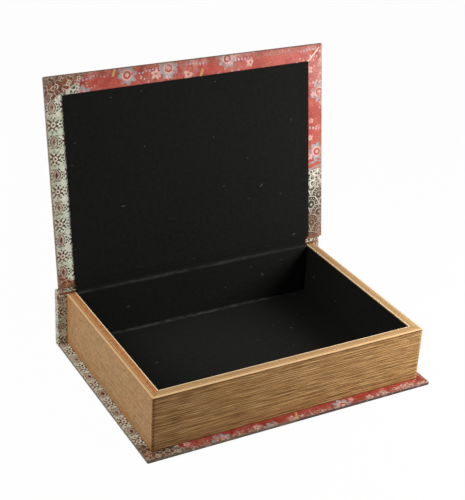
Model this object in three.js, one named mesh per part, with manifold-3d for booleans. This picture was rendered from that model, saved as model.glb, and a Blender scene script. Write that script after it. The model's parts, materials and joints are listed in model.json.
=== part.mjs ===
// A box made to look like a hardback book. Three stiff boards in one printed sheet make the case,
// and a lined wooden tray stands where the pages would be. The front cover is the lid.
// Millimetres. +X runs along the spine towards the head, +Z up, -Y towards the fore-edge.
// The origin is the centre of the underside.

import * as THREE from "three";
import { mergeVertices } from "three/addons/utils/BufferGeometryUtils.js";
import Module from "manifold-3d";

const wasm = await Module();
wasm.setup();

// Tray, outside
const trayLength = 245;
const trayDepth = 170.8;
const trayHeight = 48.3;
const wallThickness = 8.5;
const spineWallThickness = 3.5;
const wallArris = 0.6;

// Panel of the tray, and the rebate that it lies in
const panelThickness = 1.2;
const rebateWidth = 2;

// Page edges cut into the outer faces of three walls
const pageCount = 30;
const pageGrooveDepth = 0.45;
const pageGrooveWidth = 0.7;
const pageSpacingShare = 0.3;
const pageDepthShare = 0.45;

// Linings
const liningThickness = 0.6;
const liningDrop = 0.4;
const lidLiningHeadMargin = 14.7;
const lidLiningTailMargin = 14.4;
const lidLiningForeMarginHead = 14.3;
const lidLiningForeMarginTail = 16;
const lidLiningHingeMargin = 1.8;

// Case: boards, the sheet round them, and how far they reach past the tray
const boardThickness = 1.9;
const spineBoardThickness = 6.3;
const sheetThickness = 0.35;
const boardEdgeRadius = 0.4;
const boardCornerRadius = 0.7;
const endOverhang = 7.5;
const foreEdgeOverhang = 8.9;
const turnInWidth = 18;
const mitreSlit = 0.4;

// How far the boards lie out of line along the spine, as glued by hand
const lidTowardsHead = 0.6;
const spineTowardsTail = 0.8;
const spineShortfall = 0.8;

// Joint between spine and lid
const lidOpenAngle = 98.5;
const hingeBehindTray = 1.5;
const hingeBelowLidFace = 0.67;
const jointSeamFromSpineFace = 2.8;
const jointFootReach = 1;
const jointHeadReach = 2;
const creaseSink = 0.7;

// Clearances
const glueGap = 0.25;
const seamGap = 0.3;
const spineClearance = 0.3;
const lidEdgeClearance = 0.3;
const closedLidClearance = 0.3;
const openLidClearance = 0.7;
const overrun = 2;

// Counts of facets
const arcSteps = 3;
const ribbonSteps = 10;

// Levels, from the underside up
const sheetAndGlue = sheetThickness + glueGap;
const coverThickness = boardThickness + 2 * sheetAndGlue;
const trayBase = coverThickness + glueGap;
const rim = trayBase + trayHeight;
const panelTop = trayBase + panelThickness;
const floorTop = panelTop + glueGap + liningThickness;
const lidInside = rim + closedLidClearance + liningThickness + glueGap;
const lidOutside = lidInside + coverThickness;
const hingeZ = lidOutside - hingeBelowLidFace;
const spineTop = hingeZ - hingeBelowLidFace - openLidClearance;

// Places along the depth, fore-edge first
const spineThickness = spineBoardThickness + 2 * sheetAndGlue;
const caseDepth = foreEdgeOverhang + trayDepth + spineClearance + spineThickness;
const caseFront = -caseDepth / 2;
const trayFront = caseFront + foreEdgeOverhang;
const trayBack = trayFront + trayDepth;
const spineInside = trayBack + spineClearance;
const spineOutside = spineInside + spineThickness;
const hingeY = trayBack + hingeBehindTray;
const lidEdge = trayBack - lidEdgeClearance;
const lidDepth = lidEdge - caseFront;

// Half lengths along the spine
const caseHalf = trayLength / 2 + endOverhang;
const spineHalf = caseHalf - spineShortfall / 2;
const trayHalf = trayLength / 2;
const cavityHalf = trayHalf - wallThickness;

// Paints and cloths, by the piece that shows them
const finishes = {
  print: { color: 0xb9a98c, roughness: 0.5, metalness: 0 },
  board: { color: 0x8f8a80, roughness: 0.9, metalness: 0 },
  wood: { color: 0xc39a64, roughness: 0.6, metalness: 0 },
  panel: { color: 0x9a7650, roughness: 0.8, metalness: 0 },
  lining: { color: 0x171715, roughness: 0.95, metalness: 0 },
};

// A closed solid from a geometry, its shared corners merged
function solidOf(geometry) {
  const bare = geometry.index ? geometry.toNonIndexed() : geometry.clone();
  bare.deleteAttribute("normal");
  bare.deleteAttribute("uv");
  const merged = mergeVertices(bare);
  return new wasm.Manifold(
    new wasm.Mesh({
      numProp: 3,
      vertProperties: new Float32Array(merged.attributes.position.array),
      triVerts: new Uint32Array(merged.index.array),
    }),
  );
}

// The geometry of a solid, with flat facets
function geometryOf(solid) {
  const mesh = solid.getMesh();
  const geometry = new THREE.BufferGeometry();
  geometry.setAttribute("position", new THREE.BufferAttribute(mesh.vertProperties, 3));
  geometry.setIndex(new THREE.BufferAttribute(mesh.triVerts, 1));
  const flat = geometry.toNonIndexed();
  flat.computeVertexNormals();
  return flat;
}

// A geometry less the geometries in a list
function cutFrom(geometry, cuts) {
  return geometryOf(cuts.reduce((rest, cut) => rest.subtract(solidOf(cut)), solidOf(geometry)));
}

function block(low, high) {
  const size = high.map((value, axis) => value - low[axis]);
  const middle = high.map((value, axis) => (value + low[axis]) / 2);
  return new THREE.BoxGeometry(...size).translate(...middle);
}

// A geometry through rings of as many points each, its first and last ring filled in
function loft(rings) {
  const count = rings[0].length;
  const index = [];
  for (let ring = 0; ring + 1 < rings.length; ring++) {
    for (let point = 0; point < count; point++) {
      const here = ring * count + point;
      const next = ring * count + ((point + 1) % count);
      index.push(here, next, next + count, here, next + count, here + count);
    }
  }
  const flatRing = rings[0].map(([x, y, z, u, v]) => new THREE.Vector2(u ?? x, v ?? y));
  const last = (rings.length - 1) * count;
  for (const [a, b, c] of THREE.ShapeUtils.triangulateShape(flatRing, [])) {
    index.push(a, c, b, last + a, last + b, last + c);
  }
  const geometry = new THREE.BufferGeometry();
  const corners = rings.flat().flatMap(([x, y, z]) => [x, y, z]);
  geometry.setAttribute("position", new THREE.Float32BufferAttribute(corners, 3));
  geometry.setIndex(index);
  return geometry;
}

// Angles of a quarter turn that starts at a given angle
function quarterTurn(start) {
  return Array.from({ length: arcSteps + 1 }, (_, step) => start + (Math.PI / 2) * (step / arcSteps));
}

// The plan of a slab, drawn in by an inset. A square back edge is neither rounded nor drawn in.
function slabPlan({ half, front, back, corner, squareBack }, inset) {
  const radius = corner - inset;
  const arc = (x, y, start) =>
    quarterTurn(start).map((angle) => [x + radius * Math.cos(angle), y + radius * Math.sin(angle)]);
  const fore = [
    ...arc(corner - half, front + corner, Math.PI),
    ...arc(half - corner, front + corner, -Math.PI / 2),
  ];
  if (squareBack) return [[inset - half, back], ...fore, [half - inset, back]];
  return [
    ...fore,
    ...arc(half - corner, back - corner, 0),
    ...arc(corner - half, back - corner, Math.PI / 2),
  ];
}

// A slab from z = low to z = high with rounded long edges, the way a covered board has them
function slab(plan, low, high, edge) {
  const layers = [
    ...quarterTurn(-Math.PI / 2).map((angle) => [low + edge, angle]),
    ...quarterTurn(0).map((angle) => [high - edge, angle]),
  ];
  const rings = layers.map(([level, angle]) =>
    slabPlan(plan, edge * (1 - Math.cos(angle))).map(([x, y]) => [x, y, level + edge * Math.sin(angle)]),
  );
  return loft(rings);
}

// A plan grown on every side, its square back edge included
function grownPlan(plan, by) {
  return {
    ...plan,
    half: plan.half + by,
    front: plan.front - by,
    back: plan.back + (plan.squareBack ? overrun : by),
    corner: plan.corner + by,
  };
}

// Board of a cover or of the spine. Its outer face looks down, a sheet and a glue film above z = 0.
function boardPlan(half, depth, squareBack) {
  return {
    half: half - sheetAndGlue,
    front: sheetAndGlue,
    back: squareBack ? depth : depth - sheetAndGlue,
    corner: boardCornerRadius,
    squareBack,
  };
}

function board(plan, thickness) {
  return slab(plan, sheetAndGlue, sheetAndGlue + thickness, boardEdgeRadius);
}

// The sheet round a board: outer face down at z = 0, turned over on to the face above
function sheetShell(half, depth, plan, thickness) {
  const outerPlan = { ...grownPlan(plan, sheetAndGlue), half, front: 0, back: depth };
  const whole = thickness + 2 * sheetAndGlue;
  const outer = slab(outerPlan, 0, whole, boardEdgeRadius + sheetAndGlue);
  const pocket = slab(
    grownPlan(plan, glueGap),
    sheetThickness,
    whole - sheetThickness,
    boardEdgeRadius + glueGap,
  );
  return { outer, pocket, whole };
}

// Sheet of a cover: turned in on three edges, open at the hinge, mitred at the fore-edge corners
function coverSheet(depth) {
  const plan = boardPlan(caseHalf, depth, true);
  const { outer, pocket, whole } = sheetShell(caseHalf, depth, plan, boardThickness);
  const window = block(
    [turnInWidth - caseHalf, turnInWidth, whole - sheetThickness - glueGap],
    [caseHalf - turnInWidth, depth + overrun, whole + overrun],
  );
  return cutFrom(outer, [pocket, window, ...[-1, 1].map((side) => mitreSlitAt(side, whole))]);
}

// A mitre slit runs from the window's corner towards the corner of the board
function mitreSlitAt(side, whole) {
  const edge = boardEdgeRadius + sheetAndGlue;
  const run = (turnInWidth - edge) * Math.SQRT2 + mitreSlit;
  return block(
    [0, -mitreSlit / 2, whole - sheetThickness - glueGap / 2],
    [run, mitreSlit / 2, whole + overrun],
  )
    .rotateZ(side > 0 ? (Math.PI * 3) / 4 : Math.PI / 4)
    .translate(side * (caseHalf - edge), edge, 0);
}

function coverBoard(depth) {
  return board(boardPlan(caseHalf, depth, true), boardThickness);
}

// Spine, laid out like a cover and then stood up with its outer face to the back
function standSpine(geometry) {
  return geometry.rotateX(Math.PI / 2).translate(-spineTowardsTail, spineOutside, 0);
}

function spineBoard() {
  return standSpine(board(boardPlan(spineHalf, spineTop, false), spineBoardThickness));
}

// Sheet of the spine: turned in at head and tail, and over the top as far as the joint
function spineSheet() {
  const plan = boardPlan(spineHalf, spineTop, false);
  const { outer, pocket, whole } = sheetShell(spineHalf, spineTop, plan, spineBoardThickness);
  const window = block(
    [turnInWidth - spineHalf, sheetAndGlue, whole - sheetAndGlue],
    [spineHalf - turnInWidth, spineTop - sheetAndGlue, whole + overrun],
  );
  const joint = block(
    [-spineHalf - overrun, spineTop - sheetAndGlue, whole - jointSeamFromSpineFace],
    [spineHalf + overrun, spineTop + overrun, whole + overrun],
  );
  return standSpine(cutFrom(outer, [pocket, window, joint]));
}

// Heights of the page grooves: unevenly spaced, in a sequence that doesn't repeat
function pageGrooves() {
  const goldenAngle = Math.PI * (3 - Math.sqrt(5));
  const steps = Array.from(
    { length: pageCount + 1 },
    (_, page) => 1 + pageSpacingShare * Math.sin(page * goldenAngle),
  );
  const whole = steps.reduce((sum, step) => sum + step, 0);
  const clear = trayHeight - 2 * wallArris - pageGrooveWidth;
  const grooves = [];
  let height = wallArris + pageGrooveWidth / 2;
  for (let page = 0; page < pageCount; page++) {
    height += (steps[page] / whole) * clear;
    const depth = pageGrooveDepth * (1 - pageDepthShare * (1 + Math.cos(page * goldenAngle)) / 2);
    grooves.push({ height, depth });
  }
  return grooves;
}

// Section of a wall with page edges: points of depth into the wall and height over its foot
function pageWallSection() {
  const outer = pageGrooves().flatMap(({ height, depth }) => [
    [0, height - pageGrooveWidth / 2],
    [depth, height],
    [0, height + pageGrooveWidth / 2],
  ]);
  const rimEdge = [
    [0, trayHeight - wallArris],
    [wallArris, trayHeight],
  ];
  return [[0, 0], ...outer, ...rimEdge, ...innerSide(wallThickness)];
}

// The inner side of a wall, from its rim down to the rebate for the panel
function innerSide(thickness) {
  const step = panelThickness + glueGap;
  return [
    [thickness - wallArris, trayHeight],
    [thickness, trayHeight - wallArris],
    [thickness, step],
    [thickness - rebateWidth, step],
    [thickness - rebateWidth, 0],
  ];
}

// A bar with a given section, its outer face at y = 0. A mitred end is cut back with the depth.
function bar(section, half, mitredLow, mitredHigh) {
  const end = (side, mitred) =>
    section.toReversed().map(([depth, height]) => {
      const cutBack = mitred ? depth + seamGap / 2 : 0;
      return [side * (half - cutBack), depth, height, depth, height];
    });
  return loft([end(-1, mitredLow), end(1, mitredHigh)]);
}

function foreEdgeWall() {
  return bar(pageWallSection(), trayHalf, true, true).translate(0, trayFront, trayBase);
}

// A wall at the head or the tail: mitred at the fore-edge, square at the back
function endWall(side) {
  return bar(pageWallSection(), trayDepth / 2, side > 0, side < 0)
    .rotateZ((side * Math.PI) / 2)
    .translate(side * trayHalf, trayFront + trayDepth / 2, trayBase);
}

// The thin wall against the spine, let in between the end walls. Its lining covers the top.
function spineSideWall() {
  const top = trayHeight - liningThickness - glueGap;
  const step = panelThickness + glueGap;
  const section = [
    [0, 0],
    [0, top],
    [spineWallThickness, top],
    [spineWallThickness, step],
    [spineWallThickness - rebateWidth, step],
    [spineWallThickness - rebateWidth, 0],
  ];
  return bar(section, cavityHalf - glueGap, false, false)
    .rotateZ(Math.PI)
    .translate(0, trayBack, trayBase);
}

function basePanel() {
  const grown = rebateWidth - glueGap;
  return block(
    [-cavityHalf - grown, trayFront + wallThickness - grown, trayBase],
    [cavityHalf + grown, trayBack - spineWallThickness + grown, panelTop],
  );
}

// Linings of the walls stand on the panel and stop just short of the rim
const liningFoot = panelTop + glueGap;
const liningHead = rim - liningDrop;
const liningFront = trayFront + wallThickness + glueGap;
const liningBack = trayBack - spineWallThickness - glueGap;
const liningHalf = cavityHalf - glueGap;

function foreEdgeLining() {
  const half = liningHalf - liningThickness - glueGap;
  return block([-half, liningFront, liningFoot], [half, liningFront + liningThickness, liningHead]);
}

function endLining(side) {
  const faces = [side * liningHalf, side * (liningHalf - liningThickness)];
  return block(
    [Math.min(...faces), liningFront, liningFoot],
    [Math.max(...faces), liningBack - liningThickness - glueGap, liningHead],
  );
}

function floorLining() {
  const half = liningHalf - liningThickness - glueGap;
  const inset = liningThickness + glueGap;
  return block([-half, liningFront + inset, liningFoot], [half, liningBack - inset, floorTop]);
}

// A section in the plane of y and z, listed anticlockwise as seen from +X, drawn out along x
function extrusion(section, from, to) {
  const end = (x) => section.map(([y, z]) => [x, y, z, y, z]);
  return loft([end(from), end(to)]);
}

// A strip of even thickness along a path of points in the plane of y and z, drawn out along x
function ribbon(path, thickness, from, to) {
  const side = (sign) =>
    path.map((point, step) => {
      const ahead = path[Math.min(step + 1, path.length - 1)];
      const behind = path[Math.max(step - 1, 0)];
      const along = new THREE.Vector2().subVectors(ahead, behind).normalize();
      const reach = (sign * thickness) / 2;
      return [point.x - along.y * reach, point.y + along.x * reach];
    });
  return extrusion([...side(-1), ...side(1).reverse()], from, to);
}

// Where a point of the closed lid comes to when the lid is opened to its rest position
function opened(y, z) {
  const centre = new THREE.Vector2(hingeY, hingeZ);
  const turn = THREE.MathUtils.degToRad(-lidOpenAngle);
  return new THREE.Vector2(y, z).rotateAround(centre, turn);
}

// Lining of the thin wall: down its inner face, and back over its rim
function spineSideLining() {
  const backEdge = trayBack - liningThickness - seamGap;
  const section = [
    [liningBack, liningFoot],
    [liningBack, rim - liningThickness],
    [backEdge, rim - liningThickness],
    [backEdge, rim],
    [liningBack - liningThickness, rim],
    [liningBack - liningThickness, liningFoot],
  ];
  return extrusion(section, -liningHalf, liningHalf);
}

// Free stretch of the printed sheet, from the top of the spine up to the lid's outer face
function jointStrip() {
  const foot = new THREE.Vector2(
    spineInside + jointSeamFromSpineFace - seamGap,
    spineTop - sheetThickness / 2,
  );
  const head = opened(lidEdge + seamGap, lidOutside - sheetThickness / 2);
  const up = opened(lidEdge + seamGap - jointHeadReach, lidOutside - sheetThickness / 2).sub(head);
  const path = new THREE.CubicBezierCurve(
    foot,
    new THREE.Vector2(foot.x - jointFootReach, foot.y),
    head.clone().sub(up),
    head,
  );
  const tailEnd = lidTowardsHead - caseHalf + sheetThickness;
  const headEnd = spineHalf - spineTowardsTail - sheetThickness;
  return ribbon(path.getPoints(ribbonSteps), sheetThickness, tailEnd, headEnd);
}

// Black strip from the back of the rim up to the lid's inner face, sunk into the joint at a crease
function hingeLining() {
  const y = trayBack - liningThickness / 2;
  const level = lidInside - glueGap - liningThickness / 2;
  const lidFoot = opened(lidEdge, level);
  const lidHead = opened(lidEdge - lidLiningHingeMargin + seamGap, level);
  const path = new THREE.SplineCurve([
    new THREE.Vector2(y, rim - liningThickness),
    new THREE.Vector2(y, spineTop),
    new THREE.Vector2(y + creaseSink, (spineTop + lidFoot.y) / 2),
    lidFoot,
    lidHead,
  ]);
  return ribbon(path.getPoints(ribbonSteps), liningThickness, seamGap - liningHalf, liningHalf - seamGap);
}

// Panel on the lid's inner face, its edge at the fore-edge cut aslant
function lidLining() {
  const tailEnd = lidLiningTailMargin - caseHalf;
  const headEnd = caseHalf - lidLiningHeadMargin;
  const hingeSide = lidEdge - lidLiningHingeMargin;
  const plan = [
    [headEnd, hingeSide],
    [tailEnd, hingeSide],
    [tailEnd, caseFront + lidLiningForeMarginTail],
    [headEnd, caseFront + lidLiningForeMarginHead],
  ];
  const top = lidInside - glueGap;
  return loft([top - liningThickness, top].map((level) => plan.map(([x, y]) => [x, y, level])));
}

// A piece of a cover, turned over and laid where the closed lid lies
function onLid(geometry) {
  return geometry.rotateY(Math.PI).translate(0, caseFront, lidOutside);
}

function piece(name, geometry, finish) {
  const mesh = new THREE.Mesh(geometry, new THREE.MeshStandardMaterial(finishes[finish]));
  mesh.name = name;
  return mesh;
}

function backCover() {
  const depth = trayBack - caseFront;
  const group = new THREE.Group();
  group.add(
    piece("back_cover_board", coverBoard(depth), "board"),
    piece("back_cover_wrap", coverSheet(depth), "print"),
  );
  group.position.y = caseFront;
  return group;
}

function spine() {
  const group = new THREE.Group();
  group.add(piece("spine_board", spineBoard(), "board"), piece("spine_wrap", spineSheet(), "print"));
  return group;
}

function tray() {
  const group = new THREE.Group();
  group.add(
    piece("fore_edge_wall", foreEdgeWall(), "wood"),
    piece("head_wall", endWall(1), "wood"),
    piece("tail_wall", endWall(-1), "wood"),
    piece("spine_side_wall", spineSideWall(), "wood"),
    piece("tray_base_panel", basePanel(), "panel"),
    piece("fore_edge_lining", foreEdgeLining(), "lining"),
    piece("head_lining", endLining(1), "lining"),
    piece("tail_lining", endLining(-1), "lining"),
    piece("spine_side_lining", spineSideLining(), "lining"),
    piece("floor_lining", floorLining(), "lining"),
  );
  return group;
}

// The lid is laid out closed and then turned open about the hinge
function lid() {
  const closed = new THREE.Group();
  closed.add(
    piece("front_cover_board", onLid(coverBoard(lidDepth)), "board"),
    piece("front_cover_wrap", onLid(coverSheet(lidDepth)), "print"),
    piece("front_cover_lining", lidLining(), "lining"),
  );
  closed.position.set(lidTowardsHead, -hingeY, -hingeZ);
  const hinge = new THREE.Group();
  hinge.add(closed);
  hinge.position.set(0, hingeY, hingeZ);
  hinge.rotation.x = THREE.MathUtils.degToRad(-lidOpenAngle);
  return hinge;
}

function joint() {
  const group = new THREE.Group();
  group.add(
    piece("joint_strip", jointStrip(), "print"),
    piece("hinge_lining", hingeLining(), "lining"),
  );
  return group;
}

const bookBox = new THREE.Group();
bookBox.add(backCover(), spine(), tray(), lid(), joint());

export default bookBox;
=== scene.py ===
"""Looks of a hollow box made like a hardback book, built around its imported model.

Metres, in the model's own frame: +X runs along the spine towards the head, +Z up, and -Y towards the
fore-edge. The lid stands open at rest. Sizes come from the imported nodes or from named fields.
"""

import json
import logging
import math
from dataclasses import dataclass, field
from enum import Enum
from typing import Any, Sequence

import bmesh
import bpy
import numpy as np
from mathutils import Matrix, Vector


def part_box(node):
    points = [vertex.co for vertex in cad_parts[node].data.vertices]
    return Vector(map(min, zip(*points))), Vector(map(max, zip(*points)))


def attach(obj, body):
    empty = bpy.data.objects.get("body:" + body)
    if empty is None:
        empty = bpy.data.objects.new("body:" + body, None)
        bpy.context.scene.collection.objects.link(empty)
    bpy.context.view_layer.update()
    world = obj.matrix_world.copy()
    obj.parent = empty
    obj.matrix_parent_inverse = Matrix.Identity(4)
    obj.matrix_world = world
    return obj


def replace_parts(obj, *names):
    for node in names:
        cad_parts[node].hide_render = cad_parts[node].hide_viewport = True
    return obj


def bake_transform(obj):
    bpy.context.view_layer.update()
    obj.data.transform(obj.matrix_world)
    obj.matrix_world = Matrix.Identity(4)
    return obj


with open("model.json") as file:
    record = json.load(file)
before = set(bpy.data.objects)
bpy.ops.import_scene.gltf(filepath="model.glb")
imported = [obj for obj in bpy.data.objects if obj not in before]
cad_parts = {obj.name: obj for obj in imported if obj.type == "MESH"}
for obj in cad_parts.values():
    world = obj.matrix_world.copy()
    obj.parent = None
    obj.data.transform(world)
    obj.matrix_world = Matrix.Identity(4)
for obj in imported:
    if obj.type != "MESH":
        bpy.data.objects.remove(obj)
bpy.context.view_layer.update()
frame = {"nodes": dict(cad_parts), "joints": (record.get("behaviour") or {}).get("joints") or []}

log = logging.getLogger("book_box")

Array = np.ndarray
Piece = bpy.types.Object
Finish = bpy.types.Material
Place = tuple[float, float, float]
Colour = tuple[float, float, float, float]
MM = 0.001
WELD = 1e-6
WHITE = (1.0, 1.0, 1.0, 1.0)


class Slot(Enum):
    """Material slots of the record; no piece here is given one."""

    BOARD = "greyboard"
    PRINT = "printed_sheet"
    CLOTH = "black_felt"
    PAGES = "page_edge_wood"
    PANEL = "base_panel"


class Side(Enum):
    """The three walls that carry page edges."""

    FORE = "fore_edge"
    HEAD = "head"
    TAIL = "tail"


# Numbers and curves


def tone(red: int, green: int, blue: int) -> Colour:
    """A colour read off a screen, 0 to 255, as the linear colour that a shader takes.

    Args:
        red: red, 0 to 255.
        green: green, 0 to 255.
        blue: blue, 0 to 255.

    Returns:
        Linear red, green, blue and an alpha of 1.
    """
    shares = np.array([red, green, blue]) / 255
    linear = np.where(shares <= 0.04045, shares / 12.92, ((shares + 0.055) / 1.055) ** 2.4)
    return (*(float(value) for value in linear), 1.0)


def together(*parts: Any) -> Array:
    """Numbers and arrays spread over one shape, as the coordinates of points."""
    return np.stack(np.broadcast_arrays(*parts), axis=-1)


def eased(value: Array, low: float, high: float) -> Array:
    """A step from 0 at low to 1 at high, as 3t² - 2t³ of the share t of the way."""
    share = np.clip((value - low) / (high - low), 0, 1)
    return share * share * (3 - 2 * share)


def wander(place: Array, seed: int, longest: float, octaves: int = 4) -> Array:
    """A smooth wandering value along a line: a sum of sines whose wavelengths halve each time.

    Args:
        place: distances along the line, in metres.
        seed: picks the phases and the wavelengths.
        longest: the longest wavelength, in metres.
        octaves: how many sines are added.

    Returns:
        Values of about -1 to 1, in the shape of place.
    """
    draw = np.random.default_rng(seed)
    total = np.zeros_like(place, dtype=float)
    for octave in range(octaves):
        wavelength = longest / 2**octave * draw.uniform(0.8, 1.25)
        total += np.sin(place * (2 * math.pi / wavelength) + draw.uniform(0, 2 * math.pi)) / 1.6**octave
    return total / 1.9


def through(points: Sequence[Any], steps: int) -> Array:
    """A smooth line through points: a Catmull-Rom cubic between each two, its ends held by repeats.

    Args:
        points: places in two coordinates.
        steps: how many steps each stretch between two points is drawn in.

    Returns:
        (stretches × steps + 1) × 2 places.
    """
    knots = np.array([points[0], *points, points[-1]], dtype=float)
    before, here, after, beyond = (knots[shift : len(knots) - 3 + shift, None] for shift in range(4))
    t = np.linspace(0, 1, steps, endpoint=False)[None, :, None]
    bend = (2 * before - 5 * here + 4 * after - beyond) * t**2
    bend += (3 * here - before - 3 * after + beyond) * t**3
    return np.vstack([(here + ((after - before) * t + bend) / 2).reshape(-1, 2), knots[-1]])


def run_length(line: Array) -> Array:
    """Distance along a line at each of its points, from its first."""
    return np.concatenate([[0.0], np.cumsum(np.linalg.norm(np.diff(line, axis=0), axis=-1))])


def left_of(line: Array) -> Array:
    """Unit normals on the left of a line in a plane, from the slope at each point.

    Args:
        line: points × 2 places.

    Returns:
        points × 2 directions.
    """
    slope = np.gradient(line, axis=0)
    slope /= np.linalg.norm(slope, axis=1)[:, None]
    return together(-slope[:, 1], slope[:, 0])


# Surfaces


@dataclass
class Patch:
    """A grid of points that is part of a surface.

    Args:
        points: rows × columns × 3 places.
        flat: the place of each point on the flat cut, in metres.
        marks: named values from 0 to 1, which the finishes read.
    """

    points: Array
    flat: Array
    marks: dict[str, Any] = field(default_factory=dict)

    def __post_init__(self) -> None:
        """Spreads the flat places and the marks over the grid."""
        shape = self.points.shape[:2]
        self.flat = np.broadcast_to(self.flat, (*shape, 2))
        self.marks = {name: np.broadcast_to(values, shape) for name, values in self.marks.items()}

    def turned(self) -> "Patch":
        """The same surface with its faces turned over."""
        marks = {name: values[:, ::-1] for name, values in self.marks.items()}
        return Patch(self.points[:, ::-1], self.flat[:, ::-1], marks)

    def facing_from(self, centre: Any) -> "Patch":
        """The patch with its faces looking away from a centre.

        Args:
            centre: a point behind the surface, or one a row, as rows × 1 × 3.

        Returns:
            The patch, turned over where its normals, summed against the way out, look inwards.
        """
        corner = self.points
        normal = np.cross(corner[1:, 1:] - corner[:-1, :-1], corner[:-1, 1:] - corner[1:, :-1])
        middle = (corner[1:, 1:] + corner[:-1, :-1] + corner[1:, :-1] + corner[:-1, 1:]) / 4
        hub = np.broadcast_to(centre, corner.shape)[:-1, :-1]
        return self if np.sum(normal * (middle - hub)) >= 0 else self.turned()


def grid_faces(rows: int, columns: int, start: int) -> Array:
    """Corner numbers of the faces of a grid, row by row.

    Args:
        rows: rows of points.
        columns: columns of points.
        start: the number of the grid's first point.

    Returns:
        faces × 4 point numbers.
    """
    number = start + np.arange(rows * columns).reshape(rows, columns)
    corners = [number[:-1, :-1], number[1:, :-1], number[1:, 1:], number[:-1, 1:]]
    return np.stack(corners, axis=-1).reshape(-1, 4)


def set_outwards(mesh: bpy.types.Mesh, filled: bool = False) -> None:
    """Turns the faces of a closed mesh outwards.

    Args:
        mesh: the mesh.
        filled: whether its open ends are filled first.
    """
    shell = bmesh.new()
    shell.from_mesh(mesh)
    if filled:
        bmesh.ops.holes_fill(shell, edges=shell.edges, sides=0)
    bmesh.ops.recalc_face_normals(shell, faces=shell.faces)
    shell.to_mesh(mesh)
    shell.free()


def make_piece(name: str, patches: Sequence[Patch], closed: bool, sharp: float) -> Piece:
    """One object from patches, with points that lie on each other welded into one.

    A face whose corners fall together at a pole becomes a triangle, or nothing.

    Args:
        name: the piece's name.
        patches: the grids that make its surface.
        closed: whether they close a solid, so that its normals can be recalculated.
        sharp: the angle in degrees past which an edge is shaded as an edge.

    Returns:
        The object, at the origin, with its flat places as the UV map "flat" and its marks as attributes.
    """
    grids = [patch.points.shape[:2] for patch in patches]
    starts = np.cumsum([0] + [rows * columns for rows, columns in grids])
    points = np.concatenate([patch.points.reshape(-1, 3) for patch in patches])
    flat = np.concatenate([patch.flat.reshape(-1, 2) for patch in patches])
    faces = np.concatenate([grid_faces(*grid, start) for grid, start in zip(grids, starts)])
    number = np.round(points / WELD).astype(np.int64)
    _, first, weld = np.unique(number, axis=0, return_index=True, return_inverse=True)
    welded = weld.reshape(-1)[faces]
    fallen = welded == np.roll(welded, -1, axis=1)
    four, three = fallen.sum(axis=1) == 0, fallen.sum(axis=1) == 1
    kept = ~fallen[three]
    mesh = bpy.data.meshes.new(name)
    triangles = welded[three][kept].reshape(-1, 3)
    mesh.from_pydata(points[first], [], welded[four].tolist() + triangles.tolist())
    sources = np.concatenate([faces[four].ravel(), faces[three][kept]])
    mesh.uv_layers.new(name="flat").data.foreach_set("uv", flat[sources].astype(np.float32).ravel())
    for mark in sorted({mark for patch in patches for mark in patch.marks}):
        values = [patch.marks.get(mark, np.zeros(grid)).ravel() for patch, grid in zip(patches, grids)]
        attribute = mesh.attributes.new(mark, "FLOAT", "POINT")
        attribute.data.foreach_set("value", np.concatenate(values)[first].astype(np.float32))
    if closed:
        set_outwards(mesh)
    mesh.validate()
    mesh.shade_smooth()
    mesh.set_sharp_from_angle(angle=math.radians(sharp))
    piece = bpy.data.objects.new(name, mesh)
    bpy.context.scene.collection.objects.link(piece)
    return piece


def dress(piece: Piece, finish: Finish) -> Piece:
    """Gives a piece its one finish.

    Args:
        piece: the object.
        finish: its material.

    Returns:
        The object.
    """
    piece.data.materials.clear()
    piece.data.materials.append(finish)
    return piece


def rim_of(grid: Array) -> Array:
    """The values round a grid's edge, once round and back to the first."""
    return np.concatenate([grid[0, :-1], grid[:-1, -1], grid[-1, :0:-1], grid[:0:-1, 0], grid[:1, 0]])


def cloth_patches(front: Patch, thickness: float, rim_steps: int = 4) -> list[Patch]:
    """A cloth of even thickness behind a front surface.

    The back is the front moved against its normals by the thickness. The rim is a half circle
    between the two, turned out along the sheet's own edge.

    Args:
        front: the surface that shows, its normals looking out.
        thickness: of the cloth, in metres.
        rim_steps: steps round the half circle.

    Returns:
        The front, the back and the rim.
    """
    place = front.points
    normal = np.cross(np.gradient(place, axis=0), np.gradient(place, axis=1))
    normal /= np.linalg.norm(normal, axis=2)[..., None]
    back = Patch(place - normal * thickness, front.flat, front.marks).turned()
    edge, up = rim_of(place)[:-1], rim_of(normal)[:-1]
    out = np.cross(np.roll(edge, -1, axis=0) - np.roll(edge, 1, axis=0), up)
    out /= np.linalg.norm(out, axis=1)[:, None]
    middle = edge - up * thickness / 2
    out *= np.sign(np.sum(out * (middle - place.reshape(-1, 3).mean(axis=0)), axis=1))[:, None]
    turn = np.linspace(0, math.pi, rim_steps + 1)[:, None, None]
    rim = middle + (up * np.cos(turn) + out * np.sin(turn)) * thickness / 2
    marks = {name: rim_of(values) for name, values in front.marks.items()}
    return [front, back, Patch(np.concatenate([rim, rim[:, :1]], axis=1), rim_of(front.flat), marks)]


# Shader sums


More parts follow.
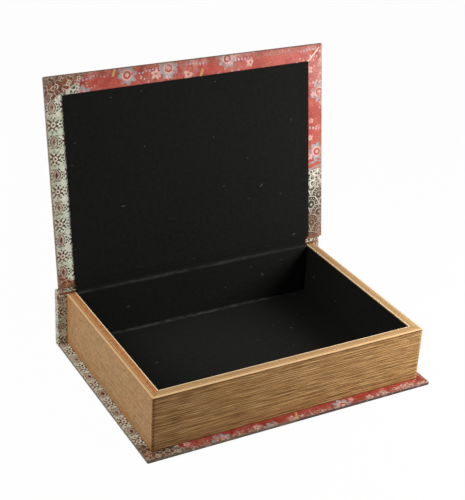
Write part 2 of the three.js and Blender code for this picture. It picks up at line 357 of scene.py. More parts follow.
class Wire:
    """The output of a shader node, which takes part in sums as a number does."""

    def __init__(self, shade: "Shade", socket: bpy.types.NodeSocket) -> None:
        """Keeps the node's socket and the shade that it belongs to."""
        self.shade = shade
        self.socket = socket

    def output(self, name: int | str) -> "Wire":
        """Another output of the same node."""
        return Wire(self.shade, self.socket.node.outputs[name])

    def sum(self, operation: str, *others: Any, turned: bool = False) -> "Wire":
        """One Math node on this value and others.

        Args:
            operation: the Math node's operation.
            others: its other values, numbers or wires.
            turned: whether this value comes second.

        Returns:
            The node's output.
        """
        values = [*others, self] if turned else [self, *others]
        return self.shade.node("ShaderNodeMath", {"operation": operation}, dict(enumerate(values)))

    def __add__(self, other: Any) -> "Wire":
        """This and another."""
        return self.sum("ADD", other)

    def __sub__(self, other: Any) -> "Wire":
        """This less another."""
        return self.sum("SUBTRACT", other)

    def __rsub__(self, other: Any) -> "Wire":
        """Another less this."""
        return self.sum("SUBTRACT", other, turned=True)

    def __mul__(self, other: Any) -> "Wire":
        """This times another."""
        return self.sum("MULTIPLY", other)

    def __truediv__(self, other: Any) -> "Wire":
        """This over another."""
        return self.sum("DIVIDE", other)

    __radd__, __rmul__ = __add__, __mul__

    def abs(self) -> "Wire":
        """This without its sign."""
        return self.sum("ABSOLUTE")

    def cos(self) -> "Wire":
        """The cosine of this angle."""
        return self.sum("COSINE")

    def floor(self) -> "Wire":
        """The whole number below this."""
        return self.sum("FLOOR")

    def least(self, other: Any) -> "Wire":
        """The smaller of two."""
        return self.sum("MINIMUM", other)

    def most(self, other: Any) -> "Wire":
        """The larger of two."""
        return self.sum("MAXIMUM", other)

    def wrapped(self, length: float) -> "Wire":
        """What is left of this past whole lengths, never below zero."""
        return self.sum("FLOORED_MODULO", length)

    def length_with(self, other: "Wire") -> "Wire":
        """The square root of the sum of two squares."""
        return (self * self + other * other).sum("SQRT")

    def angle_from(self, other: "Wire") -> "Wire":
        """The angle of the point (other, this) round the origin."""
        return self.sum("ARCTAN2", other)

    def step(self, low: float, high: float, start: float = 0.0, end: float = 1.0) -> "Wire":
        """An eased step between two values.

        Args:
            low: where it begins.
            high: where it ends.
            start: its value up to low.
            end: its value past high.

        Returns:
            The node's output.
        """
        settings = {"interpolation_type": "SMOOTHSTEP", "clamp": True}
        values = {"Value": self, "From Min": low, "From Max": high, "To Min": start, "To Max": end}
        return self.shade.node("ShaderNodeMapRange", settings, values)

    def under(self, limit: float, soft: float) -> "Wire":
        """1 below a limit and 0 above it, eased over a soft edge."""
        return self.step(limit + soft, limit - soft)

    def band(self, middle: float, half: float, soft: float) -> "Wire":
        """1 within half of the middle, eased to 0 over a soft edge."""
        return (self - middle).abs().under(half, soft)


class Shade:
    """A material's node tree, and the few ways in which this script adds nodes to it."""

    def __init__(self, name: str) -> None:
        """Starts a material with a Principled shader and its output.

        Args:
            name: the material's name.
        """
        self.material = bpy.data.materials.new(name)
        self.material.use_nodes = True
        self.tree = self.material.node_tree
        self.tree.nodes.clear()
        self.shader = self.tree.nodes.new("ShaderNodeBsdfPrincipled")
        self.end = self.tree.nodes.new("ShaderNodeOutputMaterial")
        self.tree.links.new(self.shader.outputs[0], self.end.inputs[0])

    def fill(self, made: bpy.types.Node, inputs: dict) -> None:
        """Fills a node's sockets with values, or links them where a wire is given.

        Args:
            made: the node.
            inputs: values or wires by socket name or number.
        """
        for key, value in inputs.items():
            if isinstance(value, Wire):
                self.tree.links.new(value.socket, made.inputs[key])
            else:
                made.inputs[key].default_value = value

    def node(self, kind: str, settings: dict, inputs: dict, output: int | str = 0) -> Wire:
        """One node, with its settings made before its sockets are filled.

        Args:
            kind: the node's type.
            settings: its properties, with a ramp's stops as "stops".
            inputs: values or wires by socket name or number.
            output: the socket to give back.

        Returns:
            That output.
        """
        made = self.tree.nodes.new(kind)
        for key, value in settings.items():
            if key == "stops":
                ramp = made.color_ramp.elements
                while len(ramp) < len(value):
                    ramp.new(0.5)
                for element, (place, colour) in zip(ramp, value):
                    element.position, element.color = place, colour
            else:
                setattr(made, key, value)
        self.fill(made, inputs)
        return Wire(self, made.outputs[output])

    def place(self) -> Wire:
        """Object coordinates, in metres."""
        return self.node("ShaderNodeTexCoord", {}, {}, "Object")

    def flat(self) -> Wire:
        """The place on the flat cut, in metres."""
        return self.node("ShaderNodeUVMap", {"uv_map": "flat"}, {})

    def mark(self, name: str) -> Wire:
        """A mark that the mesh carries."""
        return self.node("ShaderNodeAttribute", {"attribute_name": name}, {}, "Fac")

    def parts(self, vector: Wire) -> tuple[Wire, Wire]:
        """The first two numbers of a vector."""
        split = self.node("ShaderNodeSeparateXYZ", {}, {0: vector})
        return split, split.output(1)

    def vector(self, x: Any, y: Any) -> Wire:
        """A vector of two numbers or wires and a zero."""
        return self.node("ShaderNodeCombineXYZ", {}, {0: x, 1: y, 2: 0.0})

    def stretched(self, vector: Wire, by: tuple[float, float, float]) -> Wire:
        """A vector times another, number by number."""
        return self.node("ShaderNodeVectorMath", {"operation": "MULTIPLY"}, {0: vector, 1: by})

    def shifted(self, vector: Wire, by: Any) -> Wire:
        """A vector plus another."""
        return self.node("ShaderNodeVectorMath", {"operation": "ADD"}, {0: vector, 1: by})

    def noise(self, vector: Wire, scale: float, detail: float = 3.0, rough: float = 0.55) -> Wire:
        """Soft noise of about 0 to 1."""
        values = {"Vector": vector, "Scale": scale, "Detail": detail, "Roughness": rough}
        return self.node("ShaderNodeTexNoise", {}, values)

    def warped(self, vector: Wire, scale: float, by: float) -> Wire:
        """A place on the flat cut, moved by soft noise.

        Args:
            vector: the place, in metres.
            scale: of the noise.
            by: twice the furthest that it moves either way, in metres.

        Returns:
            The moved place.
        """
        values = {"Vector": vector, "Scale": scale, "Detail": 2.0}
        cloud = self.node("ShaderNodeTexNoise", {}, values, "Color")
        return self.shifted(vector, self.stretched(self.shifted(cloud, (-0.5, -0.5, 0.0)), (by, by, 0.0)))

    def cells(self, vector: Wire, scale: float, spread: float = 1.0) -> tuple[Wire, Wire, Wire, Wire]:
        """Scattered cells.

        Args:
            vector: the place, in metres.
            scale: cells in a metre.
            spread: how far cells are from a regular grid, 0 to 1.

        Returns:
            The distance to the nearest cell's middle, that cell's own random number, and the place
            from its middle across and along, all lengths in cells.
        """
        settings = {"voronoi_dimensions": "2D", "feature": "F1"}
        values = {"Vector": vector, "Scale": scale, "Randomness": spread}
        near = self.node("ShaderNodeTexVoronoi", settings, values, "Distance")
        own, _ = self.parts(near.output("Color"))
        back = self.stretched(near.output("Position"), (-1.0, -1.0, 0.0))
        return near, own, *self.parts(self.stretched(self.shifted(vector, back), (scale, scale, 0.0)))

    def edges(self, vector: Wire, scale: float) -> Wire:
        """The distance to the nearest edge between scattered cells, in cells."""
        settings = {"voronoi_dimensions": "2D", "feature": "DISTANCE_TO_EDGE"}
        return self.node("ShaderNodeTexVoronoi", settings, {"Vector": vector, "Scale": scale}, "Distance")

    def ramp(self, share: Wire, *stops: tuple[float, Colour]) -> Wire:
        """A colour off a ramp whose stops are places and colours."""
        return self.node("ShaderNodeValToRGB", {"stops": stops}, {"Fac": share})

    def layers(self, ground: Any, *coats: tuple[Any, Any]) -> Wire:
        """A colour with coats laid over it in turn.

        Args:
            ground: the first colour.
            coats: for each, its share from 0 to 1 and its colour.

        Returns:
            The colour on top.
        """
        settings = {"data_type": "RGBA", "clamp_factor": True}
        for share, colour in coats:
            ground = self.node("ShaderNodeMix", settings, {0: share, 6: ground, 7: colour}, 2)
        return ground

    def bump(self, height: Wire, distance: float, strength: float, **under: Wire) -> Wire:
        """A normal bent by a height of 0 to 1, which stands for a distance in metres."""
        values = {"Height": height, "Distance": distance, "Strength": strength, **under}
        return self.node("ShaderNodeBump", {}, values)

    def finish(self, inputs: dict) -> Finish:
        """Fills the shader's sockets and gives the material."""
        self.fill(self.shader, inputs)
        return self.material


# Finishes


@dataclass(frozen=True)
class FlatSheet:
    """Edges of the folded case on the flat sheet, in metres.

    Args:
        end: half of the sheet's length between the middles of the boards' rounded ends.
        fore: place round the case of the lid's fore-edge.
        back_fore: place round the case of the back cover's fore-edge.
        hinge: place round the case of the lid's hinge edge.
        crest: place round the case of the spine's top.
    """

    end: float
    fore: float
    back_fore: float
    hinge: float
    crest: float


class Ground:
    """A point of the flat sheet, and the noises and masks that all zones of the print share."""

    def __init__(self, shade: Shade) -> None:
        """Makes the shared values.

        Args:
            shade: the node tree that they are made in.
        """
        self.shade = shade
        self.place = shade.flat()
        self.across, self.along = shade.parts(self.place)
        self.grain = shade.noise(self.place, 700, 2, 0.6)
        self.wear = shade.noise(self.place, 170, 5, 0.7)
        self.cloud = shade.noise(self.place, 42, 5, 0.62)
        self.fade = shade.noise(shade.shifted(self.place, (0.31, 0.17, 0.0)), 26, 6, 0.68)
        self.on_back = self.along.under(0.0, 2 * MM)

    def ink(self, mask: Wire, kept: float = 0.45) -> Wire:
        """A printed mask, rubbed off in places down to a kept share."""
        return mask * self.wear.step(0.6, 0.46, kept, 1.0)


@dataclass(frozen=True)
class PrintedPaper:
    """Printed paper with a thin satin coat: a made-up patchwork of old papers, worn and faded.

    A sage border with rosettes and pointed ovals runs along the tail and round the spine, rust patches
    sit in its corners, fish scales lie at the head by the spine, and the field is coral.

    Args:
        edges: where the boards' edges lie on the sheet.
        border_edge: where the border ends towards the head.
        column: width of a column of its ornaments.
        column_start: where the first column begins.
        step: distance between two ornaments of a column.
        patch_reach: how far the rust patches reach.
        margin: width of the strips along the hinge and the fore-edges.
    """

    edges: FlatSheet
    sage: Colour = tone(214, 223, 198)
    stem: Colour = tone(138, 124, 92)
    cream: Colour = tone(240, 233, 212)
    umber: Colour = tone(38, 27, 18)
    bark: Colour = tone(106, 70, 48)
    rose: Colour = tone(188, 148, 130)
    rust: Colour = tone(142, 78, 46)
    taupe: Colour = tone(62, 48, 38)
    olive: Colour = tone(104, 95, 76)
    coral: Colour = tone(194, 80, 66)
    brick: Colour = tone(170, 58, 46)
    blood: Colour = tone(130, 38, 30)
    blush: Colour = tone(188, 106, 90)
    crazed: Colour = tone(148, 92, 62)
    veil: Colour = tone(198, 170, 156)
    steel: Colour = tone(160, 170, 172)
    petal: Colour = tone(230, 184, 172)
    lilac: Colour = tone(204, 184, 196)
    mustard: Colour = tone(208, 170, 98)
    rubbed: Colour = tone(140, 110, 94)
    edge_wear_and_shade: Colour = tone(118, 96, 84)
    back_edge_wear_and_shade: Colour = tone(58, 42, 36)
    core: Colour = tone(255, 232, 220)
    border_edge: float = -101 * MM
    column: float = 11.5 * MM
    column_start: float = -142.75 * MM
    step: float = 28 * MM
    scale_pitch: float = 17 * MM
    mosaic_pitch: float = 7 * MM
    stone_pitch: float = 2.7 * MM
    lattice_pitch: float = 8.4 * MM
    flower_pitch: float = 34 * MM
    blossom_pitch: float = 15 * MM
    scales_reach: float = 47 * MM
    mosaic_reach: float = 64 * MM
    patch_reach: float = 24 * MM
    margin: float = 17 * MM

    def border(self, on: Ground) -> Wire:
        """The sage border: rosettes and pointed ovals by turns, each column half a step further.

        A rosette has seven dark petals between radius 2.2 and 4.9 mm where cos(7 × angle) is above
        zero, inside a ring of beads. An oval's side follows a cosine of the height, so it comes to a
        point at both ends, and dark studs sit along it.

        Args:
            on: the point of the sheet.

        Returns:
            The colour.
        """
        shade, half_step = on.shade, self.step / 2
        # Painted light: the border is paler on the back cover.
        pale = on.cloud.step(0.44, 0.66).most(on.on_back * 0.6)
        vines = shade.edges(shade.warped(on.place, 260, 3.5 * MM), 1 / (5 * MM)).step(0.1, 0.03)
        bent_x, bent_y = shade.parts(shade.warped(on.place, 150, 1.6 * MM))
        x = ((bent_x - self.column_start).wrapped(self.column) - self.column / 2) / MM
        column = ((on.across - self.column_start) / self.column).floor()
        y = ((bent_y + column.wrapped(2.0) * half_step).wrapped(self.step) - half_step) / MM
        radius, angle = x.length_with(y), y.angle_from(x)
        petals = radius.band(3.5, 1.25, 0.3) * (angle * 7).cos().step(-0.25, 0.25)
        beads = (angle * (11 / (2 * math.pi))).wrapped(1.0) - 0.5
        bead = (beads * radius * (2 * math.pi / 11)).length_with(radius - 5.6).under(0.75, 0.25)
        v = half_step / MM - y.abs()
        side = (v * (math.pi / 14.5)).cos() * 5.3 - x.abs()
        near = v.under(7.2, 0.1)
        studs = side.band(0.2, 0.8, 0.25) * (v * 2.5).cos().step(-0.45, 0.15) * near
        lining = side.band(2.0, 0.35, 0.2) * near
        seed = (x.abs() * 1.3 + v.abs() * 0.55).under(1.7, 0.3)
        dark = bead.most(studs).most(lining).most(seed).most(petals).most(radius.under(1.0, 0.2))
        return shade.layers(
            self.sage,
            (pale, self.cream),
            (vines * on.fade.step(0.36, 0.6) * 0.85, self.stem),
            (on.fade.step(0.52, 0.7) * 0.4, self.rose),
            (on.ink(radius.under(5.0, 0.3)), self.cream),
            (on.ink(radius.band(2.6, 0.5, 0.2)), self.rust),
            (on.ink(side.under(2.0, 0.2) * side.step(0.9, 1.1) * near), self.cream),
            (on.ink(side.step(1.9, 2.1) * near), self.rose),
            (on.ink(dark, 0.8), self.umber),
        )

    def scales(self, on: Ground) -> Wire:
        """Fish scales in taupe and olive with cream outlines and rings of beads.

        Rows are half a pitch high and every other row moves by half a pitch. Inside the unit circle of
        its own scale a point belongs to that scale, and outside it to the next row's.

        Args:
            on: the point of the sheet.

        Returns:
            The colour.
        """
        shade, half = on.shade, self.scale_pitch / 2
        bent_x, bent_y = shade.parts(shade.warped(on.place, 90, 4 * MM))
        row = (bent_y / half).floor()
        y = bent_y / half - row
        x = ((bent_x / half + row.wrapped(2.0)).wrapped(2.0) - 1).abs()
        outside = x.length_with(y).step(0.99, 1.01)
        own_x, own_y = x - outside, y - outside
        reach, angle = own_x.length_with(own_y), own_y.angle_from(own_x)
        beads = ((angle * (14 / (2 * math.pi))).wrapped(1.0) - 0.5) * reach * (2 * math.pi / 14)
        bead = beads.length_with(reach - 0.69).under(0.06, 0.03)
        line = reach.band(0.93, 0.05, 0.02).most(reach.band(0.46, 0.03, 0.02)).most(reach.under(0.1, 0.03))
        return shade.layers(
            self.taupe,
            (reach.under(0.43, 0.02), self.olive),
            (reach.band(0.27, 0.07, 0.02).most(reach.band(0.81, 0.03, 0.02)), self.umber),
            (on.ink(line.most(bead), 0.7) * 0.8, self.cream),
            (on.fade.step(0.5, 0.62) * 0.65, self.bark),
        )

    def mosaic(self, on: Ground) -> Wire:
        """Dark stones and rings crowded on cream, between the scales and the field.

        Args:
            on: the point of the sheet.

        Returns:
            The colour.
        """
        near, own, _, _ = on.shade.cells(on.place, 1 / self.stone_pitch, 0.55)
        _, _, x, y = on.shade.cells(on.place, 1 / self.mosaic_pitch, 0.5)
        ring = x.length_with(y)
        return on.shade.layers(
            self.cream,
            (on.fade.step(0.4, 0.6) * 0.7 + 0.28, self.olive),
            (on.ink(near.under(0.38, 0.07) * own.step(0.15, 0.2), 0.7), self.umber),
            (on.ink(ring.band(0.36, 0.06, 0.03), 0.5), self.cream),
            (on.ink(ring.band(0.26, 0.05, 0.03), 0.5), self.taupe),
        )

    def corners(self, on: Ground) -> Wire:
        """Rust patches with a small slanting lattice, cream rings and dark beads, pulled out of true.

        Args:
            on: the point of the sheet.

        Returns:
            The colour.
        """
        shade, pitch = on.shade, self.lattice_pitch / MM
        across, along = shade.parts(shade.warped(on.place, 110, 6 * MM))
        u = (across / MM + along / MM * 0.6).wrapped(pitch) - pitch / 2
        v = (along / MM - across / MM * 0.6).wrapped(pitch) - pitch / 2
        radius = u.length_with(v)
        lattice = (u.abs() - v.abs()).abs().under(0.5, 0.25) * radius.step(2.4, 2.9)
        dots = ((u * 2.6).cos() * (v * 2.6).cos()).step(0.35, 0.6)
        cream = radius.band(2.1, 0.35, 0.2).most(radius.under(0.7, 0.2))
        return shade.layers(
            self.rust,
            (on.cloud.step(0.38, 0.6), self.bark),
            (on.ink(dots * radius.step(2.7, 3.1)), self.umber),
            (on.ink(cream.most(lattice * 0.6), 0.1), self.cream),
        )

    def field(self, on: Ground) -> Wire:
        """The coral field: mottled reds under a torn veil, crazed with thin brown lines, with painted shade
        on the back cover.

        Args:
            on: the point of the sheet.

        Returns:
            The colour.
        """
        shade = on.shade
        stops = [(0.36, self.blood), (0.45, self.brick), (0.54, self.coral), (0.66, self.blush)]
        ground = shade.ramp(on.cloud * 0.5 + on.wear * 0.33 + on.grain * 0.17, *stops)
        torn = on.fade * 0.7 + on.wear * 0.3
        strands = shade.noise(shade.stretched(on.place, (110.0, 620.0, 1.0)), 1, 3, 0.6)
        craze = shade.edges(shade.warped(on.place, 420, 3 * MM), 1 / (3.2 * MM)).step(0.07, 0.02)
        craze = craze.most(strands.step(0.56, 0.64)) * on.cloud.step(0.34, 0.56)
        return shade.layers(
            ground,
            (torn.step(0.5, 0.6) * 0.2, self.veil),
            (torn.step(0.43, 0.37) * 0.5, self.rubbed),
            (craze * 0.5, self.crazed),
            # Painted shade: the field is darker on the back cover.
            (on.on_back * 0.45, self.blood),
        )

    def motifs(self, on: Ground, ground: Wire) -> Wire:
        """Ring flowers, small blossoms, a lilac chain, mustard strokes and drops on the field.

        A ring flower's petals end at radius = 0.23 + 0.04 × cos(8 × angle) of the flowers' pitch.

        Args:
            on: the point of the sheet.
            ground: the field's colour.

        Returns:
            The colour.
        """
        shade = on.shade
        chain = (on.along + on.cloud * (16 * MM)).wrapped(41 * MM) / MM - 18
        links = (on.across * (2 * math.pi / (3.1 * MM))).cos().step(-0.4, 0.4)
        strokes = (on.across + on.along * 0.35).wrapped(83 * MM) / MM - 20
        length = (on.along - on.across * 0.35).wrapped(64 * MM) / MM
        _, own, x, y = shade.cells(shade.shifted(on.place, (0.012, 0.02, 0.0)), 1 / self.flower_pitch, 0.8)
        radius, angle = x.length_with(y), y.angle_from(x)
        rim = radius - ((angle * 8 + own * 9).cos() * 0.04 + 0.23)
        shown = own.step(0.42, 0.44)
        inner = radius.band(0.12, 0.02, 0.012).most(radius.under(0.05, 0.012))
        _, lone, x, y = shade.cells(on.place, 1 / self.blossom_pitch, 0.9)
        grown = (lone - 0.6).abs() * 3.2 + 0.7
        size, turn = x.length_with(y) / grown, y.angle_from(x)
        ragged = (turn * 5 + lone * 7).cos() * 0.03 + (on.wear - 0.5) * 0.12 + 0.14
        grows = lone.step(0.6, 0.62)
        near, bare, _, _ = shade.cells(on.place, 1 / (3.4 * MM), 0.9)
        drops = near.under(0.2, 0.08) * bare.step(0.62, 0.64) * on.fade.step(0.5, 0.57)
        return shade.layers(
            ground,
            (on.ink(chain.abs().under(0.9, 0.4) * links * on.fade.step(0.44, 0.52)) * 0.85, self.lilac),
            (on.ink(strokes.abs().under(1.2, 0.3) * length.under(26, 0.5), 0.3), self.mustard),
            (on.ink(rim.under(0.0, 0.012) * radius.step(0.13, 0.15) * shown, 0.2) * 0.9, self.steel),
            (on.ink(inner * shown, 0.3), self.petal),
            (on.ink((size - ragged).under(0.0, 0.02) * grows, 0.4) * 0.8, self.petal),
            (on.ink(size.under(0.035, 0.015) * grows, 0.4), self.brick),
            (on.ink(drops, 0.2) * 0.7, self.cream),
        )

    def rub(self, on: Ground, colour: Wire) -> Wire:
        """The colour with brown rubbing along the boards' edges, dirt beside them, and folds worn paler, with
        painted shade and highlights.

        Args:
            on: the point of the sheet.
            colour: the print.

        Returns:
            The worn colour.
        """
        shade, edges = on.shade, self.edges
        off = (on.across.abs() - edges.end).abs()
        off = off.least((on.along - edges.fore).abs()).least((on.along - edges.back_fore).abs()) / MM
        soil = shade.layers(
            self.rubbed, (on.fade.step(0.5, 0.56), self.veil), (on.wear.step(0.55, 0.44) * 0.7, self.bark)
        )
        soiled = (on.wear * 9 + on.cloud * 6 - off - 0.8).step(-1.5, 2.5) * on.grain.step(0.3, 0.5)
        tail = on.across.step(-90 * MM, -110 * MM, 0.36, 0.3)
        rubbed = (on.wear * 6.5 - off - 1.4).step(-1.0, 1.6)
        chips = (on.grain * 0.6 + on.wear * 0.4).step(0.53, 0.57) * on.on_back * off.under(6, 2)
        on_spine = on.along.band(edges.crest / 2, edges.crest / 2 - 2 * MM, 2 * MM)
        off_edge = (on.across.abs() - (edges.end - 1.1 * MM)).abs()
        fold = shade.mark("fold") * (1 - on_spine * off_edge.step(0.6 * MM, 1.5 * MM))
        # The folds' colour is partly wear and partly painted shade on the rounded edges: darkest on the back
        # cover, lighter at its tail end, with a painted highlight on the spine's folds.
        wear = shade.layers(
            self.edge_wear_and_shade,
            (on.on_back, self.back_edge_wear_and_shade),
            (on.on_back * on.across.under(0.0, 5 * MM) * 0.7, self.olive),
            (on_spine, self.cream),
        )
        return shade.layers(
            colour,
            (soiled * tail, soil),
            (rubbed * tail, self.rubbed),
            (chips * on.fade.step(0.44, 0.52) * 0.5, self.sage),
            # Worn folds, darkened by painted shade and lightened on the spine by a painted highlight.
            ((fold * (on.wear * 1.4 + 0.2)).least(1.0), wear),
            (fold * on.wear.step(0.54, 0.64) * 0.5, self.veil),
        )

    def build(self) -> Finish:
        """The zones laid over each other, with worn edges and a fine paper tooth.

        Returns:
            The material.
        """
        shade, edges = Shade("printed_paper"), self.edges
        on = Ground(shade)
        wobble = (on.wear - 0.5) * (9 * MM) + (on.fade - 0.5) * (12 * MM)
        on_lid = on.along.step(edges.hinge - 1.6 * MM, edges.hinge - 0.4 * MM)
        on_spine = (1 - on_lid) * on.along.step(-1 * MM, 1 * MM)
        torn = (on.across + wobble).under(self.border_edge, 0.5 * MM).most(on_spine)
        lip = (on.across + wobble).band(self.border_edge, 0.5 * MM, 0.3 * MM) * (1 - on_spine)
        from_hinge = (on.along - edges.hinge).abs() + (on.fade - 0.5) * (22 * MM)
        at_head = on.across.step(84 * MM, 88 * MM) * on_lid
        rings = from_hinge.band(66 * MM, 1.1 * MM, 0.5 * MM)
        rings = rings.most(from_hinge.band(71 * MM, 0.7 * MM, 0.4 * MM)) * at_head
        near_fore = (on.along - edges.fore).abs().least((on.along - edges.back_fore).abs())
        near_hinge = (on.along - edges.hinge).abs() + 11 * MM
        from_tail = (on.across + edges.end).abs() * 0.55 + wobble * 0.7
        patch = (near_hinge + from_tail).under(self.patch_reach, 0.7 * MM) * on_lid
        patch = patch.most((near_fore + from_tail).under(self.patch_reach, 0.7 * MM))
        rim = (near_hinge + on.wear * (5 * MM)).under(self.margin, 1 * MM) * on_lid
        mosaic = self.mosaic(on)
        colour = shade.layers(
            self.motifs(on, self.field(on)),
            (torn, self.border(on)),
            (on.ink(lip), self.cream),
            (from_hinge.under(self.mosaic_reach, 0.6 * MM) * at_head, mosaic),
            (on.ink(rings, 0.5) * 0.9, self.steel),
            (from_hinge.under(self.scales_reach, 0.6 * MM) * at_head, self.scales(on)),
            ((near_fore + wobble * 0.5).under(self.margin, 0.5 * MM) * torn, mosaic),
            (patch, shade.layers(self.corners(on), (on.on_back * 0.35, self.umber))),
            (rim * 0.8, shade.layers(self.rust, (on.cloud.step(0.4, 0.6), self.bark))),
        )
        cut = shade.mark("cut").step(0.9, 0.93) * on.along.step(90 * MM, 100 * MM)
        colour = shade.layers(
            self.rub(on, colour),
            (cut * on.across.step(0.0, 20 * MM, 0.15, 1.0), self.core),
            (on.grain.step(0.62, 0.75) * 0.18, self.cream),
            (on.grain.step(0.42, 0.28) * 0.3, self.umber),
        )
        height = shade.bump(on.grain * 0.6 + on.wear * 0.4, 0.06 * MM, 0.7)
        satin = {"Roughness": on.wear * 0.3 + 0.36, "Specular IOR Level": 0.22, "Coat Weight": 0.03}
        return shade.finish({"Base Color": colour, "Normal": height, **satin})


@dataclass(frozen=True)
class PageEdges:
    """Sealed wood fibre board, cut to look like the edges of pages and stained along the cuts.

    Args:
        crown: height over a wall's foot at which its face turns into the rim.
        facing_share: width of the rim's facing, in shares of the rim.
        lit_share: where a pale line runs beside the facing.
        ledge_share: where a dark line runs near the inner edge.
        inner_highlight_share: middle of the painted highlight along the inner edge.
    """

    crown: float
    tan: Colour = tone(179, 133, 80)
    straw: Colour = tone(209, 165, 111)
    ochre: Colour = tone(140, 98, 55)
    moss: Colour = tone(158, 128, 79)
    walnut: Colour = tone(56, 34, 15)
    cream: Colour = tone(226, 182, 126)
    orange: Colour = tone(190, 116, 62)
    arris: Colour = tone(244, 204, 156)
    pale: Colour = tone(252, 226, 184)
    greyed: Colour = tone(176, 150, 116)
    facing_share: float = 0.25
    lit_share: float = 0.325
    ledge_share: float = 0.82
    inner_highlight_share: float = 0.91

    def rims(self, shade: Shade, around: Wire, fibre: Wire, tail: Wire) -> Wire:
        """The rim: a facing round the outside, a joint line, a sawn core and a painted highlight along the
        inner edge.

        Args:
            shade: the node tree.
            around: place round the tray.
            fibre: fine noise.
            tail: 1 on the wall at the tail.

        Returns:
            The colour.
        """
        inset = shade.mark("inset")
        saw = shade.noise(shade.vector(around * 620 + inset * 7.0, inset * 1.3), 1, 2, 0.6)
        drawn = shade.noise(shade.vector(around * 22, inset * 13), 1, 3, 0.65)
        blotch = shade.noise(shade.stretched(shade.place(), (330.0, 330.0, 330.0)), 1, 3, 0.6)
        sawn = saw * 0.22 + drawn * 0.58 + fibre * 0.2
        facing = shade.layers(self.straw, (fibre * 0.7 + drawn * 0.3, self.arris), (tail * 0.35, self.tan))
        joint = inset.band(self.facing_share, 0.03, 0.02) * (drawn * 0.6 + 0.45)
        return shade.layers(
            shade.ramp(sawn, (0.34, self.ochre), (0.5, self.tan), (0.64, self.cream)),
            (0.3, self.greyed),
            (tail * blotch.step(0.3, 0.55) * 0.85, self.orange),
            (tail * blotch.step(0.54, 0.62) * 0.6, self.ochre),
            (inset.under(self.facing_share, 0.015), facing),
            (inset.band(self.lit_share, 0.03, 0.02) * (drawn * 0.8 + 0.2), self.arris),
            # Painted highlight along the rim's inner edge.
            (inset.band(self.inner_highlight_share, 0.06, 0.03) * (drawn * 0.6 + 0.6), self.pale),
            (joint.most(inset.band(self.ledge_share, 0.016, 0.02) * 0.4), self.walnut),
        )

    def build(self) -> Finish:
        """Long broken streaks on the faces, dark cuts, worn arrises with painted highlights, and painted
        shade near the foot.

        Returns:
            The material.
        """
        shade = Shade("page_edges")
        around, up = shade.parts(shade.flat())
        across, _ = shade.parts(shade.place())
        tail = around.step(0.2 * MM, -0.2 * MM)
        lined = 1 - tail * 0.78
        long_ = shade.noise(shade.vector(around * 20, up * 1300), 1, 0, 0.5)
        fine = shade.noise(shade.vector(around * 90, up * 1500), 1, 0, 0.5)
        dashes = shade.noise(shade.vector(around * 30 + 7.0, up * 1400), 1, 0, 0.5)
        glints = shade.noise(shade.vector(around * 40 + 31.0, up * 1450 + 5.0), 1, 0, 0.5)
        patchy = shade.noise(shade.vector(around * 16, up * 40), 1, 3, 0.5)
        fibre = shade.noise(shade.stretched(shade.place(), (900.0, 900.0, 900.0)), 1, 2, 0.7)
        mottle = shade.noise(shade.stretched(shade.place(), (60.0, 60.0, 110.0)), 1, 4, 0.65)
        pores = shade.noise(shade.stretched(shade.place(), (420.0, 420.0, 520.0)), 1, 2, 0.6)
        groove, rim, arris = shade.mark("groove"), shade.mark("rim"), shade.mark("arris")
        streak = (long_ * 0.45 + fine * 0.5 + patchy * 0.05 - 0.5) * (1 - tail * 0.6) + 0.5
        low = up.step(11 * MM, 1 * MM)
        worn = tail * (low * 0.3 + around.step(-158 * MM, -168 * MM) * 0.5 + 0.12) + low * 0.1
        crown = up.band(self.crown - 0.5 * MM, 0.35 * MM, 0.2 * MM) * (long_ * 0.9 + 0.4)
        # Painted shade: darker over the lowest 9 mm of each face, a dark line where the wall stands on the
        # cover, and darker towards the tail end of the fore-edge wall.
        foot = up.step(9 * MM, 2 * MM) * 0.14 + up.step(1.0 * MM, 0.1 * MM) * 0.6
        shadow = across.step(-40 * MM, -125 * MM) * (1 - tail) * 0.12
        # Painted highlight on the arrises, strongest towards the tail end; towards the head end they are
        # painted darker, in ochre, instead.
        arris_highlight = across.step(120 * MM, -60 * MM, 0.1, 1.0)
        colour = shade.layers(
            shade.ramp(streak, (0.3, self.ochre), (0.5, self.tan), (0.7, self.straw)),
            (mottle.step(0.5, 0.64) * 0.25, self.moss),
            (tail * 0.4, self.greyed),
            (tail * pores.step(0.52, 0.62) * 0.45, self.ochre),
            (tail * pores.step(0.46, 0.36) * 0.4, self.straw),
            (worn * mottle.step(0.56, 0.42), self.orange),
            ((groove * (long_ * 0.8 + 1.0)).least(1.0) * 0.66, self.walnut),
            (dashes.step(0.54, 0.7) * lined * 0.28, self.walnut),
            (fibre.step(0.52, 0.66) * 0.26, self.walnut),
            (glints.step(0.52, 0.68) * (1 - groove) * lined * 0.5, self.cream),
            (crown * (1 - tail * 0.6), self.walnut),
            (foot + shadow, self.walnut),
            (rim, self.rims(shade, around, fibre, tail)),
            (arris * (fibre * 0.7 + 0.35) * arris_highlight, self.arris),
            (arris * (1 - arris_highlight) * (long_ * 0.8 + 0.2), self.ochre),
        )
        cut = shade.bump(fine * 0.4 + long_ * 0.3 + dashes * 0.3, 0.12 * MM, 0.7)
        tooth = shade.bump(fibre, 0.05 * MM, 0.5, Normal=cut)
        matt = {"Roughness": groove * 0.25 + 0.45 + patchy * 0.1, "Specular IOR Level": 0.1}
        return shade.finish({"Base Color": colour, "Normal": tooth, **matt})


